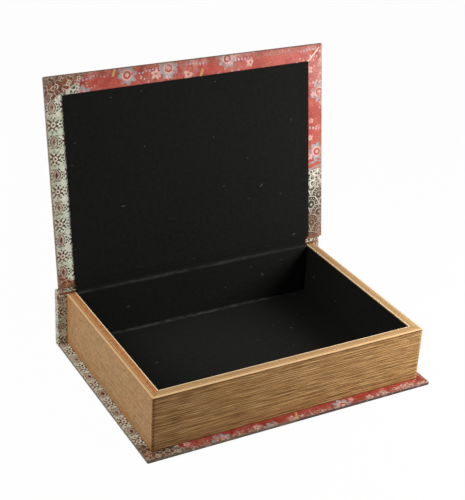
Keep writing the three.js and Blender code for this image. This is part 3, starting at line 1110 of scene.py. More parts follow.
@dataclass(frozen=True)
class BlackCloth:
    """Short black nap on a paper back, with a little lint caught in it."""

    black: Colour = tone(12, 12, 11)
    lifted: Colour = tone(24, 24, 21)
    lint: Colour = tone(130, 130, 126)
    greyed: Colour = tone(62, 62, 60)

    def build(self) -> Finish:
        """Clouded nap, sparse specks and fibres of lint, and a painted highlight where a fold stands up.

        Returns:
            The material.
        """
        shade = Shade("black_cloth")
        place = shade.flat()
        nap = shade.noise(place, 1300, 3, 0.7)
        clump = shade.noise(place, 300, 3, 0.6)
        cloud = shade.noise(place, 14, 3, 0.5)
        torn = shade.noise(shade.stretched(place, (120.0, 420.0, 1.0)), 1, 3, 0.65)
        near, own, x, y = shade.cells(place, 30)
        speck = near.step(0.012, 0.006) * own.step(0.55, 0.57)
        lean = own * 40
        across = (x * lean.cos() + y * (lean + math.pi / 2).cos()).abs()
        hair = across.step(0.007, 0.004) * near.step(0.06, 0.05) * own.step(0.93, 0.95) * 0.6
        colour = shade.layers(
            self.black,
            (clump * 1.8 + nap * 1.4 + cloud * 0.4 - 1.35, self.lifted),
            # Painted highlight, in streaks, where the cloth folds up in the cove and over the thin wall's
            # rim.
            (shade.mark("dust") * (torn.step(0.36, 0.62) + 0.2), self.greyed),
            (speck.most(hair) * 0.8, self.lint),
        )
        height = shade.bump(nap * 0.5 + clump * 0.5, 0.25 * MM, 0.8)
        sheen = {"Sheen Weight": 0.03, "Sheen Roughness": 0.5, "Specular IOR Level": 0.12}
        return shade.finish({"Base Color": colour, "Roughness": 0.9, "Normal": height, **sheen})


@dataclass(frozen=True)
class PlainBoard:
    """Pressed board of one colour with flecks and short fibres.

    Args:
        name: the material's name.
        ground: its colour.
        fleck: the colour of its flecks.
    """

    name: str
    ground: Colour
    fleck: Colour

    def build(self) -> Finish:
        """Flecks of two sizes over a clouded ground, with a dry pressed face.

        Returns:
            The material.
        """
        shade = Shade(self.name)
        fine = shade.noise(shade.place(), 1400, 3, 0.7)
        coarse = shade.noise(shade.place(), 260, 4, 0.6)
        colour = shade.layers(self.ground, ((fine * 0.6 + coarse * 0.4).step(0.42, 0.62), self.fleck))
        height = shade.bump(fine, 0.08 * MM, 0.6)
        return shade.finish({"Base Color": colour, "Roughness": 0.85, "Normal": height})


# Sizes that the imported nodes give


@dataclass(frozen=True)
class Hinge:
    """The lid's turning line, and how far the lid stands open at rest.

    Args:
        axis: its place in Y and Z.
        opening: the angle from closed to rest, in radians.
    """

    axis: Array
    opening: float

    @classmethod
    def packed(cls) -> "Hinge":
        """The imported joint's line and range."""
        joint = frame["joints"][0]
        return cls(np.array(joint["pos_m"][1:]), math.radians(-joint["range_deg"][0]))

    def way(self, directions: Any, share: float = 1.0) -> Array:
        """Directions in Y and Z, turned by a share of the way from closed to rest."""
        cos, sin = math.cos(share * self.opening), math.sin(share * self.opening)
        return np.asarray(directions) @ np.array([[cos, -sin], [sin, cos]])

    def opened(self, spots: Any) -> Array:
        """Where points of the closed lid, in Y and Z, come to at rest."""
        return self.axis + self.way(spots - self.axis)

    def closed(self, spots: Any) -> Array:
        """Where points of the lid at rest come to when it is closed."""
        return self.axis + self.way(spots - self.axis, -1.0)


def node_points(node: str) -> Array:
    """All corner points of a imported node, at rest.

    Args:
        node: its name.

    Returns:
        points × 3 places.
    """
    mesh = frame["nodes"][node].data
    values = np.empty(len(mesh.vertices) * 3, dtype=np.float32)
    mesh.vertices.foreach_get("co", values)
    return values.reshape(-1, 3).astype(float)


@dataclass(frozen=True)
class Extent:
    """A box: its lowest and its highest corner."""

    low: Array
    high: Array

    @property
    def size(self) -> Array:
        """Its length along each axis."""
        return self.high - self.low

    @classmethod
    def of(cls, node: str) -> "Extent":
        """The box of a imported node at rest."""
        return cls(*(np.array(corner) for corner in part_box(node)))

    @classmethod
    def closed(cls, node: str, hinge: Hinge) -> "Extent":
        """The box of a lid node once the lid is closed.

        Args:
            node: its name.
            hinge: the lid's hinge.

        Returns:
            The box.
        """
        points = node_points(node)
        points[:, 1:] = hinge.closed(points[:, 1:])
        return cls(points.min(axis=0), points.max(axis=0))


# The printed case


@dataclass
class BoardWrap:
    """Paper glued round one board, its cross-sections drawn out along a line in Y and Z.

    A cross-section runs over the outer face, round the board's rounded ends and on to the inner
    face, where the paper is turned in.

    Args:
        ends: rows × 2, where each row ends along X at the tail and at the head.
        line: rows × 2, the outer face in Y and Z.
        inward: rows × 2, unit vectors from the outer face to the inner one.
        thickness: rows, from face to face.
        girth: rows, place round the case on the flat cut.
        reach: rows, how far the paper is turned in from the ends.
        corner: radius of the board's corners in plan.
        edge: radius of its long edges.
        slit: the gap in a mitre.
        fold_share: share of the edge's radius over which a fold is marked.
        cut_reach: distance from the paper's cut edge over which it is marked.
        columns: how many columns cross the outer face.
        arc_steps: points of a quarter circle.
        flap_steps: steps across a turn-in.
    """

    ends: Array
    line: Array
    inward: Array
    thickness: Array
    girth: Array
    reach: Array
    corner: float = 1.25 * MM
    edge: float = 0.95 * MM
    slit: float = 0.12 * MM
    fold_share: float = 0.8
    cut_reach: float = 10 * MM
    columns: int = 40
    arc_steps: int = 5
    flap_steps: int = 8

    def profile(self) -> tuple[Array, Array, Array]:
        """The rounded edge for each row.

        Two quarter circles of the edge's radius join the outer face, the side and the inner face.
        On a thin row the radius shrinks so that the two fit.

        Returns:
            Inset from the edge, depth behind the outer face and length on the flat cut, rows × steps.
        """
        quarter = np.linspace(0, math.pi / 2, self.arc_steps)[None]
        full = self.thickness[:, None]
        radius = np.minimum(self.edge, 0.49 * full)
        inset_arc, depth_arc = radius * (1 - np.sin(quarter)), radius * (1 - np.cos(quarter))
        flat_part = np.full_like(full, self.corner)
        inset = np.hstack([flat_part, inset_arc, inset_arc[:, ::-1], flat_part])
        depth = np.hstack([0 * full, depth_arc, full - depth_arc[:, ::-1], full])
        steps = np.hypot(np.diff(inset, axis=1), np.diff(depth, axis=1))
        return inset, depth, np.hstack([0 * full, np.cumsum(steps, axis=1)])

    def lay(self, x: Array, depth: Array, row: slice | int = slice(None), onward: Any = 0.0) -> Array:
        """Points at a place along X and a depth behind the line, moved onward in Y and Z."""
        spot = self.line[row][..., None, :] + self.inward[row][..., None, :] * depth[..., None] + onward
        return together(x, spot[..., 0], spot[..., 1])

    def hub(self) -> Array:
        """A point in the middle of the board behind each row."""
        middle = self.line + self.inward * self.thickness[:, None] / 2
        return np.hstack([self.ends.mean(axis=1, keepdims=True), middle])[:, None]

    def outer_columns(self) -> Array:
        """Places along X of the columns that cross the outer face, rows × columns."""
        start, stop = self.ends[:, :1] + self.corner, self.ends[:, 1:] - self.corner
        return start + (stop - start) * np.linspace(0, 1, self.columns)

    def fold_mark(self, inset: Array) -> Array:
        """A mark that is 1 on the edge and falls to 0 just inside it."""
        return np.clip(1 - inset / (self.fold_share * self.edge), 0, 1)

    def cut_mark(self, distance: Array) -> Array:
        """A mark that falls from 1 at the paper's cut edge to 0 some way from it."""
        return 1 - np.clip(distance / self.cut_reach, 0, 1)

    def sides(self) -> list[Patch]:
        """The outer face, and both rounded ends with the paper turned in behind them.

        Returns:
            The three surfaces.
        """
        x = self.outer_columns()
        face = Patch(self.lay(x, np.zeros_like(x)), together(x, self.girth[:, None]))
        return [face.facing_from(self.hub()), self.end(-1), self.end(1)]

    def end(self, sign: int) -> Patch:
        """The rounded end at one side and the paper turned in behind it.

        Args:
            sign: -1 at the tail, 1 at the head.

        Returns:
            The surface.
        """
        edge = self.ends[:, 1:] if sign > 0 else self.ends[:, :1]
        inset, depth, length = self.profile()
        share = np.linspace(0, 1, self.flap_steps + 1)[None, 1:]
        room = np.maximum(self.reach - self.corner, 0)[:, None]
        inset = np.hstack([inset, self.corner + room * share])
        depth = np.hstack([depth, np.repeat(depth[:, -1:], self.flap_steps, axis=1)])
        length = np.hstack([length, length[:, -1:] + room * share])
        flat = together(edge + sign * (length - self.corner), self.girth[:, None])
        fold = self.fold_mark(inset)
        fold[:, -self.flap_steps :] = 0
        cut = np.where(fold > 0, 0, self.cut_mark(self.reach[:, None] - inset))
        cut[:, : -self.flap_steps] = 0
        patch = Patch(self.lay(edge - sign * inset, depth), flat, {"fold": fold, "cut": cut})
        return patch.facing_from(self.hub())

    def shut(self, row: int, onward: Any, growth: float, turn_in: float, worn: float = 1.0) -> list[Patch]:
        """The rounded edge past the first or the last row, with its corners and its turn-in.

        A corner is the rounded edge swept through a quarter circle. The turn-in narrows at 45 degrees
        on both sides and leaves a slit to the paper turned in from the ends.

        Args:
            row: the row that the edge closes.
            onward: unit vector in Y and Z from that row to the edge.
            growth: whether the girth grows (1) or falls (-1) towards the edge.
            turn_in: how far the paper is turned in over that edge.
            worn: how strongly the edge is marked as a fold.

        Returns:
            The edge, its turn-in and two corners.
        """
        onward = np.asarray(onward)
        inset, depth, length = (values[row][:, None] for values in self.profile())
        centre, girth = self.hub()[row], self.girth[row]
        middle, span = self.ends[row].mean(), np.ptp(self.ends[row]) / 2
        marks = {"fold": self.fold_mark(inset) * worn}
        x = self.outer_columns()[row][None]
        spot = self.lay(x, depth, row, (self.corner - inset)[..., None] * onward)
        made = [Patch(spot, together(x, girth + growth * length), marks).facing_from(centre)]
        share = np.linspace(0, 1, self.flap_steps + 1)[:, None]
        deep = self.corner + (turn_in - self.corner) * share
        gap = self.slit * np.clip((deep - self.corner) / self.edge, 0, 1)
        narrow = middle + (x - middle) / (span - self.corner) * (span - deep - gap)
        spot = self.lay(narrow, depth[-1], row, (self.corner - deep)[..., None] * onward)
        flat = together(narrow, girth + growth * (length[-1] + deep - self.corner))
        cut = self.cut_mark(span - np.abs(narrow - middle) - deep - gap)
        made.append(Patch(spot, flat, {"cut": cut}).facing_from(centre))
        turn = np.linspace(0, math.pi / 2, 2 * self.arc_steps)[None]
        radius = self.corner - inset
        for sign, end in zip((-1, 1), self.ends[row]):
            x = end + sign * (radius * np.cos(turn) - self.corner)
            spot = self.lay(x, depth, row, (radius * np.sin(turn))[..., None] * onward)
            across = end + sign * (length * np.cos(turn) - self.corner)
            near = centre + [[sign * (span - 2 * self.corner), 0, 0]]
            flat = together(across, girth + growth * length * np.sin(turn))
            made.append(Patch(spot, flat, marks).facing_from(near))
        return made


@dataclass
class PrintedCase:
    """The one printed sheet round back cover, spine, joint and lid.

    Args:
        hinge: the lid's hinge.
        turn_in: how far the sheet is turned in.
        lip: how far it is turned in over the spine's top and bottom.
        paper: its thickness.
        joint_fold: thickness of the doubled sheet in the joint.
        seam: distance from the spine's inner face to where the sheet rises to the lid.
        foot_sink: how far inside the spine's top the rising sheet starts.
        joint_inset: how far it stays inside the spine's ends.
        rows: how many rows cross each cover.
        joint_rows: how many rows the joint has.
    """

    hinge: Hinge
    turn_in: float = 18 * MM
    lip: float = 3 * MM
    paper: float = 0.35 * MM
    joint_fold: float = 0.6 * MM
    seam: float = 2.9 * MM
    foot_sink: float = 0.4 * MM
    joint_inset: float = 0.4 * MM
    rows: int = 44
    joint_rows: int = 10

    def __post_init__(self) -> None:
        """Reads the boxes of the nodes that the sheet stands for."""
        self.back = Extent.of("back_cover_wrap")
        self.spine = Extent.of("spine_wrap")
        self.lid = Extent.closed("front_cover_wrap", self.hinge)
        self.half = float(self.back.high[0])

    @staticmethod
    def ends_of(box: Extent, rows: int) -> Array:
        """The ends of a board along X, for so many rows."""
        return np.tile([box.low[0], box.high[0]], (rows, 1))

    @staticmethod
    def mitre_gap(away: Array) -> Array:
        """Half of a mitre's slit, which opens over a millimetre past the board's corner."""
        return BoardWrap.slit * np.clip((away - BoardWrap.corner) / MM, 0, 1)

    def cover_rows(self, depth: float) -> tuple[Array, Array]:
        """Rows of a cover, by their distance from the fore-edge, from the hinge side on.

        Args:
            depth: from the fore-edge to the hinge side.

        Returns:
            The distances, and how far the ends' turn-ins reach there: up to the mitre near the corner.
        """
        mitred = np.linspace(self.turn_in + BoardWrap.slit, BoardWrap.corner, 5)
        away = np.concatenate([np.linspace(depth, mitred[0], self.rows, endpoint=False), mitred])
        return away, np.clip(away - self.mitre_gap(away), BoardWrap.corner, self.turn_in)

    def joint_line(self) -> Array:
        """The outer side of the joint: a cubic from inside the spine's top up to the lid's edge.

        Returns:
            Points in Y and Z. The line leaves the spine upwards, sinks in a little, and meets the
            lid's outer face along that face's own slope.
        """
        foot = np.array([self.spine.low[1] + self.seam + self.foot_sink, self.spine.high[2] - self.foot_sink])
        head = self.hinge.opened(self.lid.high[1:])
        slope = self.hinge.way([-MM, 0.0])
        sunk = foot + [-0.5 * MM, 1.1 * MM]
        t = np.linspace(0, 1, self.joint_rows)[:, None]
        bend = 3 * (1 - t) ** 2 * t * sunk + 3 * (1 - t) * t**2 * (head - 1.2 * slope)
        return (1 - t) ** 3 * foot + bend + t**3 * head

    def lid_wrap(self) -> list[Patch]:
        """The sheet from the joint's foot over the lid, whose edge at the hinge is nearly square.

        Returns:
            Its surfaces.
        """
        _, depth, cover = self.lid.size
        away, reach = self.cover_rows(depth)
        rounding = np.array([0.05, 0.15, 0.4, 0.9]) * MM
        away = np.concatenate([depth - rounding, away[1:]])
        line = self.hinge.opened(together(self.lid.low[1] + away, self.lid.high[2]))
        joint = self.joint_line()
        whole = np.vstack([joint, line])
        inward = np.vstack([left_of(joint), np.tile(self.hinge.way([0.0, -1.0]), (len(line), 1))])
        thickness = np.full(len(whole), cover)
        thickness[: len(joint)] = self.joint_fold
        stepped = self.joint_fold + (cover - self.joint_fold) * np.array([0.5, 0.8, 0.95, 1.0])
        thickness[len(joint) : len(joint) + len(stepped)] = stepped
        on_lid = self.ends_of(self.lid, len(line))
        on_spine = self.ends_of(self.spine, 1)[0] + [self.joint_inset, -self.joint_inset]
        ends = np.vstack([np.linspace(on_spine, on_lid[0], len(joint)), on_lid])
        reach = np.concatenate([np.full(len(joint) + len(rounding), self.turn_in), reach[1:]])
        wrap = BoardWrap(ends, whole, inward, thickness, self.lid_start() + run_length(whole), reach)
        return [*wrap.sides(), *wrap.shut(-1, self.hinge.way([-1.0, 0.0]), 1.0, self.turn_in)]

    def lid_start(self) -> float:
        """Girth at the joint's foot: round the spine from the back cover's fold."""
        return float(2 * self.spine.size[1] + self.spine.high[2] - self.seam)

    def back_wrap(self) -> list[Patch]:
        """The sheet over the back cover, tucked into the fold under the spine.

        Returns:
            Its surfaces.
        """
        _, depth, cover = self.back.size
        away, reach = self.cover_rows(depth)
        past, lift, thin = np.array([[0.45, 0.3, 0.12], [0.8, 0.4, 0.1], [0.9, 1.4, 2.2]]) * MM
        away = np.concatenate([depth + past, away])
        line = together(self.back.low[1] + away, np.concatenate([lift, np.zeros(len(reach))]))
        thickness = np.concatenate([thin, np.full(len(reach), cover)])
        reach = np.concatenate([np.full(len(past), self.turn_in), reach])
        inward, ends = np.tile([0.0, 1.0], (len(line), 1)), self.ends_of(self.back, len(line))
        wrap = BoardWrap(ends, line, inward, thickness, away - depth, reach)
        return [*wrap.sides(), *wrap.shut(-1, [-1.0, 0.0], -1.0, self.turn_in)]

    def spine_wrap(self) -> list[Patch]:
        """The sheet round the spine: outer face, bottom, a flat top and both ends.

        Top and bottom are turned in by a short lip. The paper turned in from the ends narrows beside
        the lip at 45 degrees and is straight past it.

        Returns:
            Its surfaces.
        """
        thick, height, slit = self.spine.size[1], self.spine.high[2], BoardWrap.slit
        beside = np.linspace(BoardWrap.corner, self.lip + slit, 3)
        straight = np.linspace(self.lip + 1.5 * slit, height - self.lip - 1.5 * slit, 16)
        rise = np.concatenate([beside, straight, height - beside[::-1]])
        away = np.minimum(rise, height - rise)
        narrowed = np.clip(away - self.mitre_gap(away), BoardWrap.corner, self.lip)
        reach = np.where(away > self.lip + 1.2 * slit, self.turn_in, narrowed)
        line, inward = together(self.spine.high[1], rise), np.tile([-1.0, 0.0], (len(rise), 1))
        ends = self.ends_of(self.spine, len(rise))
        wrap = BoardWrap(ends, line, inward, np.full(len(rise), thick), thick + rise, reach)
        bottom = wrap.shut(0, [0.0, -1.0], -1.0, self.lip)
        return [*wrap.sides(), *bottom, *wrap.shut(-1, [0.0, 1.0], 1.0, self.lip, worn=0.0)]

    def edges(self, joint: float) -> FlatSheet:
        """Where the boards' edges lie on the flat sheet.

        Args:
            joint: length of the joint.

        Returns:
            Places of the edges, each at the middle of its rounding.
        """
        rounding = (math.pi / 2 - 2) * BoardWrap.edge + float(self.back.size[2]) / 2
        hinge = self.lid_start() + joint
        fore, back_fore = hinge + float(self.lid.size[1]) + rounding, -float(self.back.size[1]) - rounding
        crest = float(self.spine.size[1] + self.spine.high[2])
        return FlatSheet(self.half + rounding, fore, back_fore, hinge, crest)

    def build(self) -> Piece:
        """The sheet as one piece.

        Returns:
            The piece.
        """
        patches = [*self.back_wrap(), *self.spine_wrap(), *self.lid_wrap()]
        sheet = make_piece("printed_case_sheet", patches, closed=False, sharp=50)
        wall = sheet.modifiers.new("paper", "SOLIDIFY")
        wall.thickness, wall.offset = self.paper, -1.0
        joint = self.joint_line()
        run = float(run_length(joint)[-1])
        dress(sheet, PrintedPaper(self.edges(run)).build())
        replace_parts(sheet, "back_cover_wrap", "spine_wrap", "joint_strip", "front_cover_wrap")
        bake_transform(sheet)
        length = float(self.lid_start() + run + 2 * self.turn_in + self.lid.size[1] + self.back.size[1])
        2 * (self.half + self.turn_in)
        return sheet


# The tray


@dataclass
class PageWall:
    """A wall of the tray whose outer face is cut to look like page edges.

    Args:
        side: which of the three walls.
        base: lowest corner of the tray.
        top: highest corner of the tray.
        wall: thickness of the wall.
        step: height of the rebate for the panel.
        rebate: depth of that rebate.
        arris: radius of the rim's two edges.
        arris_wear_and_highlight: how strongly those edges are marked, as wear and as a painted highlight.
        seam: the gap in a mitre.
        pages: how many page lines there are.
        groove_depth: depth of the deepest line.
        groove_half: half of a line's width.
        faint_share: share of the depth that is left at the tail.
        hairline_depth: depth of the fainter lines between.
        spacing_share: how far a line is moved, in shares of the spacing.
        depth_share: how much shallower a line can be.
        sway: how far a line wanders up or down.
        station: distance between sections.
        face_step: height between points of the face.
    """

    side: Side
    base: Array
    top: Array
    wall: float
    step: float
    rebate: float = 2 * MM
    arris: float = 0.7 * MM
    arris_wear_and_highlight: float = 0.8
    seam: float = 0.08 * MM
    pages: int = 27
    groove_depth: float = 0.4 * MM
    groove_half: float = 0.34 * MM
    faint_share: float = 0.4
    hairline_depth: float = 0.08 * MM
    spacing_share: float = 0.3
    depth_share: float = 0.4
    sway: float = 0.16 * MM
    station: float = 2.2 * MM
    face_step: float = 0.17 * MM

    def lines(self, height: float) -> tuple[Array, Array]:
        """Heights and depths of the page lines.

        A seeded draw moves each line from its even place and makes it shallower. A fainter line
        lies between each two.

        Args:
            height: of the wall.

        Returns:
            Heights over the wall's foot, and depths.
        """
        draw = np.random.default_rng(12)
        count = np.arange(1, self.pages + 1) + self.spacing_share * draw.uniform(-1, 1, self.pages)
        heights = self.arris + count / (self.pages + 1) * (height - 2 * self.arris)
        depths = self.groove_depth * (1 - self.depth_share * draw.uniform(0, 1, self.pages))
        between = (heights[1:] + heights[:-1]) / 2
        return np.append(heights, between), np.append(depths, np.full(len(between), self.hairline_depth))

    def cuts(self, around: Array, heights: Array, height: float) -> Array:
        """How deep the face is cut at each place.

        Each line is a bell across its height, depth × exp(-((h - line) / half)²). The line wanders a
        little round the box, and its depth swells and fades, so pages run out and start again.

        Args:
            around: distance round the box, so that lines meet at the mitres.
            heights: of the face's points over its foot.
            height: of the wall.

        Returns:
            stations × heights depths.
        """
        total = np.zeros((len(around), len(heights)))
        for number, (line, deep) in enumerate(zip(*self.lines(height))):
            path = line + self.sway * wander(around, 100 + number, 80 * MM, 5)
            swell = np.clip(0.95 + 0.4 * wander(around, 400 + number, 40 * MM, 5), 0.4, 1.25)
            away = (heights[None] - path[:, None]) / self.groove_half
            total = np.maximum(total, (deep * swell)[:, None] * np.exp(-(away**2)))
        return total

    def section(self, height: float) -> Array:
        """The section past the outer face: over the rounded rim, down the inner face, round the rebate.

        Each edge of the rim is a quarter circle of the arris's radius.

        Args:
            height: of the wall.

        Returns:
            Depth behind the outer face and height over the wall's foot, points × 2.
        """
        turn = np.linspace(0, math.pi / 2, 5)[1:]
        crown, inner = height - self.arris, self.wall - self.rebate
        arc = together(self.arris * (1 - np.cos(turn)), crown + self.arris * np.sin(turn))
        across = together(np.linspace(self.arris, self.wall - self.arris, 8)[1:-1], height)
        back_arc = together(self.wall - arc[::-1, 0], arc[::-1, 1])
        corners = [(self.wall, crown), (self.wall, self.step), (inner, self.step), (inner, 0.0), (0.0, 0.0)]
        return np.vstack([arc, across, back_arc, corners])

    def places(self, share: Array, depth: Array) -> tuple[Array, Array]:
        """Where the sections stand, mitred towards the fore-edge.

        Args:
            share: of the way along the wall, sections × 1.
            depth: behind the outer face, sections × points.

        Returns:
            X and Y, sections × points.
        """
        long, deep, _ = self.top - self.base
        low = depth + self.seam / 2
        if self.side is Side.FORE:
            return self.base[0] + low + share * (long - 2 * low), self.base[1] + depth
        x = self.top[0] - depth if self.side is Side.HEAD else self.base[0] + depth
        return x, self.base[1] + low + share * (deep - low)

    def build(self, finish: Finish) -> Piece:
        """The wall: the cut face and the section behind it, drawn out from end to end.

        Args:
            finish: the page edges' material.

        Returns:
            The piece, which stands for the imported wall.
        """
        long, deep, height = self.top - self.base
        runs = {Side.FORE: (0.0, 1.0, long), Side.HEAD: (long, 1.0, deep), Side.TAIL: (0.0, -1.0, deep)}
        start, way, run = runs[self.side]
        share = np.linspace(0, 1, int(run / self.station) + 1)
        around, crown = start + way * share * run, height - self.arris
        heights = np.linspace(0, crown, int(height / self.face_step))
        cut = self.cuts(around, heights, height) * (self.faint_share if self.side is Side.TAIL else 1.0)
        section = self.section(height)
        depth = np.hstack([cut, np.tile(section[:, 0], (len(share), 1))])
        level = np.append(heights, section[:, 1])
        from_edge = np.minimum(np.hypot(depth, height - level), np.hypot(self.wall - depth, height - level))
        marks = {
            "rim": np.append(0 * heights, section[:, 1] >= crown),
            "arris": np.clip(1 - from_edge / self.arris, 0, 1) * self.arris_wear_and_highlight,
            "groove": np.hstack([cut / self.groove_depth, np.zeros((len(share), len(section)))]),
            "inset": depth / self.wall,
        }
        flat = together(around[:, None], np.append(heights, crown + run_length(section)))
        points = together(*self.places(share[:, None], depth), self.base[2] + level)
        name = self.side.value
        wall = make_piece(f"{name}_page_wall", [Patch(points, flat, marks)], closed=False, sharp=48)
        set_outwards(wall.data, filled=True)
        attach(dress(wall, finish), "base")
        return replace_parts(wall, f"{name}_wall")


@dataclass
class Linings:
    """The black cloth: on the lid, over the joint and the thin wall, on three walls and on the floor.

    Args:
        hinge: the lid's hinge.
        finish: the cloth's material.
        thickness: of the cloth.
        grid: distance between the points of a cloth.
        cove: how far the floor's cloth turns up before the back wall.
        cove_lift: how high it turns up.
        soft: radius of the cloth over the thin wall's rim.
        nap_depth: how uneven a cloth is.
        sink: how far the lid's cloth sinks inside the turned-in paper.
        sink_from: distance from its edge at which it begins to sink.
        sink_to: distance at which it has sunk.
    """

    hinge: Hinge
    finish: Finish
    thickness: float = 0.6 * MM
    grid: float = 2.5 * MM
    cove: float = 2.8 * MM
    cove_lift: float = 1.8 * MM
    soft: float = 1.3 * MM
    nap_depth: float = 0.12 * MM
    sink: float = 0.28 * MM
    sink_from: float = 4.2 * MM
    sink_to: float = 6.4 * MM

    def counts(self, *lengths: float) -> list[int]:
        """Grid lines for some lengths, a grid apart."""
        return [max(int(length / self.grid), 6) + 1 for length in lengths]

    def nap(self, first: Array, second: Array, seed: int) -> Array:
        """A soft unevenness over a cloth: two wandering values multiplied."""
        return wander(first, seed, 0.11) * wander(second, seed + 1, 0.09) * self.nap_depth

    def laid(self, name: str, front: Patch, behind: Any, flat: Any) -> Piece:
        """A cloth from its front, dressed.

        Args:
            name: the piece's name.
            front: the surface that shows.
            behind: a point behind that surface.
            flat: its sizes; not used.

        Returns:
            The piece.
        """
        patches = cloth_patches(front.facing_from(behind), self.thickness)
        piece = dress(make_piece(name, patches, closed=True, sharp=60), self.finish)
        return piece

    def lid_panel(self) -> Piece:
        """The cloth on the lid.

        It lies over the turned-in paper round its edge and sinks by the paper's thickness inside it.
        Its edge at the fore-edge runs straight between the two packed corners, a little aslant.

        Returns:
            The piece.
        """
        box, rim = Extent.closed("front_cover_lining", self.hinge), self.thickness / 2
        low, high = box.low + rim, box.high - rim
        columns, rows = self.counts(high[0] - low[0], high[1] - low[1])
        corners = node_points("front_cover_lining")
        along = self.hinge.closed(corners[:, 1:])[:, 0]
        ends = [along[corners[:, 0] < 0].min(), along[corners[:, 0] > 0].min()]
        x, share = np.meshgrid(np.linspace(low[0], high[0], columns), np.linspace(0, 1, rows))
        fore = np.interp(x, [low[0], high[0]], ends) + rim
        y = fore + (high[1] - fore) * share
        border = np.minimum(np.minimum(x - low[0], high[0] - x), np.minimum(y - fore, high[1] - y))
        sunk = self.sink * eased(border, self.sink_from, self.sink_to)
        level = box.low[2] + sunk - np.minimum(0.0, self.nap(x, y, 11))
        spot = self.hinge.opened(together(y, level))
        front = Patch(together(x, spot[..., 0], spot[..., 1]), together(x, y), {"dust": 0.0})
        behind = [0.0, *self.hinge.opened([y.mean(), box.high[2] + 1.0])]
        piece = self.laid("lid_cloth", front, behind, box.size)
        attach(piece, "lid")
        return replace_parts(piece, "front_cover_lining")

    def floor(self) -> Piece:
        """The cloth on the floor, which turns up in a cove where it meets the back wall, with a painted
        highlight on the cove.

        The cove is a parabola: its height is greatest at the edge and falls with the square of the
        distance. It dies away towards the head.

        Returns:
            The piece.
        """
        box, rim = Extent.of("floor_lining"), self.thickness / 2
        low, high = box.low[:2] + rim, box.high[:2] - rim
        columns, rows = self.counts(*(high - low))
        start = high[1] - self.cove
        along = np.append(np.linspace(low[1], start, rows, endpoint=False), np.linspace(start, high[1], 9))
        x, y = np.meshgrid(np.linspace(low[0], high[0], columns), along)
        near = np.clip(1 - (high[1] - y) / self.cove, 0, 1)
        strength = 1 - 0.85 * eased(x, 55 * MM, 100 * MM) - 0.3 * eased(-x, 70 * MM, 112 * MM)
        strength = strength * (1 + 0.15 * wander(x, 21, 0.06))
        level = box.high[2] + self.cove_lift * near**2 * strength + np.minimum(self.nap(x, y, 31), 0)
        # Painted highlight along the middle of the cove's rise.
        dust = np.exp(-(((near - 0.55) / 0.3) ** 2)) * np.clip(strength, 0, 1)
        front = Patch(together(x, y, level), together(x, y), {"dust": dust})
        piece = self.laid("floor_cloth", front, [0.0, 0.0, -1.0], high - low)
        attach(piece, "base")
        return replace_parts(piece, "floor_lining")

    def wall(self, side: Side) -> Piece:
        """The cloth on one of the three thick walls.

        Args:
            side: the wall.

        Returns:
            The piece.
        """
        name, rim = side.value, self.thickness / 2
        box, axis = Extent.of(f"{name}_lining"), 0 if side is Side.FORE else 1
        low, high = box.low, box.high
        rows, columns = self.counts(box.size[2], box.size[axis])
        run = np.linspace(low[axis] + rim, high[axis] - rim, columns)
        along, up = np.meshgrid(run, np.linspace(low[2] + rim, high[2] - rim, rows))
        inner, way = {Side.FORE: (high[1], -1.0), Side.HEAD: (low[0], 1.0), Side.TAIL: (high[0], -1.0)}[side]
        face = inner + way * np.abs(self.nap(along, up, 41 + axis))
        places = [along, face, up] if axis == 0 else [face, along, up]
        front = Patch(together(*places), together(along, up), {"dust": 0.0})
        behind = np.zeros(3)
        behind[1 - axis] = inner + way
        piece = self.laid(f"{name}_cloth", front, behind, box.size[[axis, 2]])
        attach(piece, "base")
        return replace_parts(piece, f"{name}_lining")

    def back_and_joint(self) -> Piece:
        """The cloth up the thin wall, over its rim, into the joint and on to the lid's edge.

        One section in Y and Z is drawn out along X: up the wall, a quarter circle over the rim, then
        a smooth line through named places down into the crease and round the lid's inner corner.

        Returns:
            The piece.
        """
        wall, lid = Extent.of("spine_side_lining"), Extent.closed("front_cover_wrap", self.hinge)
        panel, soft = Extent.closed("front_cover_lining", self.hinge), self.soft
        face, rim, level = wall.low[1], wall.high[2], panel.low[2]
        up = np.linspace(wall.low[2] + 0.9 * MM, rim - soft, 18)
        turn = np.linspace(0, math.pi / 2, 7)[1:]
        over = together(face + soft * (1 - np.cos(turn)), rim - soft * (1 - np.sin(turn)))
        corner = self.hinge.opened([lid.high[1] + 0.1 * MM, level + 0.2 * MM])
        tuck = self.hinge.opened([panel.high[1] + 0.35 * MM, level + 0.1 * MM])
        crease = [corner[0] + 1.6 * MM, (rim + corner[1]) / 2 + 1.2 * MM]
        fillet = [wall.high[1] - 0.3 * MM, rim + 0.35 * MM]
        bend = through([over[-1], fillet, crease, corner, tuck], 6)
        line = np.vstack([together(face, up), over, bend[1:]])
        half = float(wall.high[0]) - self.thickness / 2
        x, y, z = np.linspace(-half, half, self.counts(2 * half)[0]), line[:, :1], line[:, 1:]
        limp = np.where(z > rim + 0.5 * MM, 0.12 * MM, 0.0)
        # Painted highlight where the cloth rounds the thin wall's rim.
        dust = np.exp(-(((z - rim) / (0.5 * MM)) ** 2)) * (0.42 + 0.3 * wander(x, 61, 0.09))
        flat = together(x, run_length(line)[:, None])
        front = Patch(together(x, y + limp * wander(x, 51, 0.05), z), flat, {"dust": dust})
        behind = [0.0, face + 4 * MM, rim - 20 * MM]
        size = (2 * half, flat[-1, 0, 1])
        piece = self.laid("back_and_joint_cloth", front, behind, size)
        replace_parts(piece, "spine_side_lining", "hinge_lining")
        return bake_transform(piece)


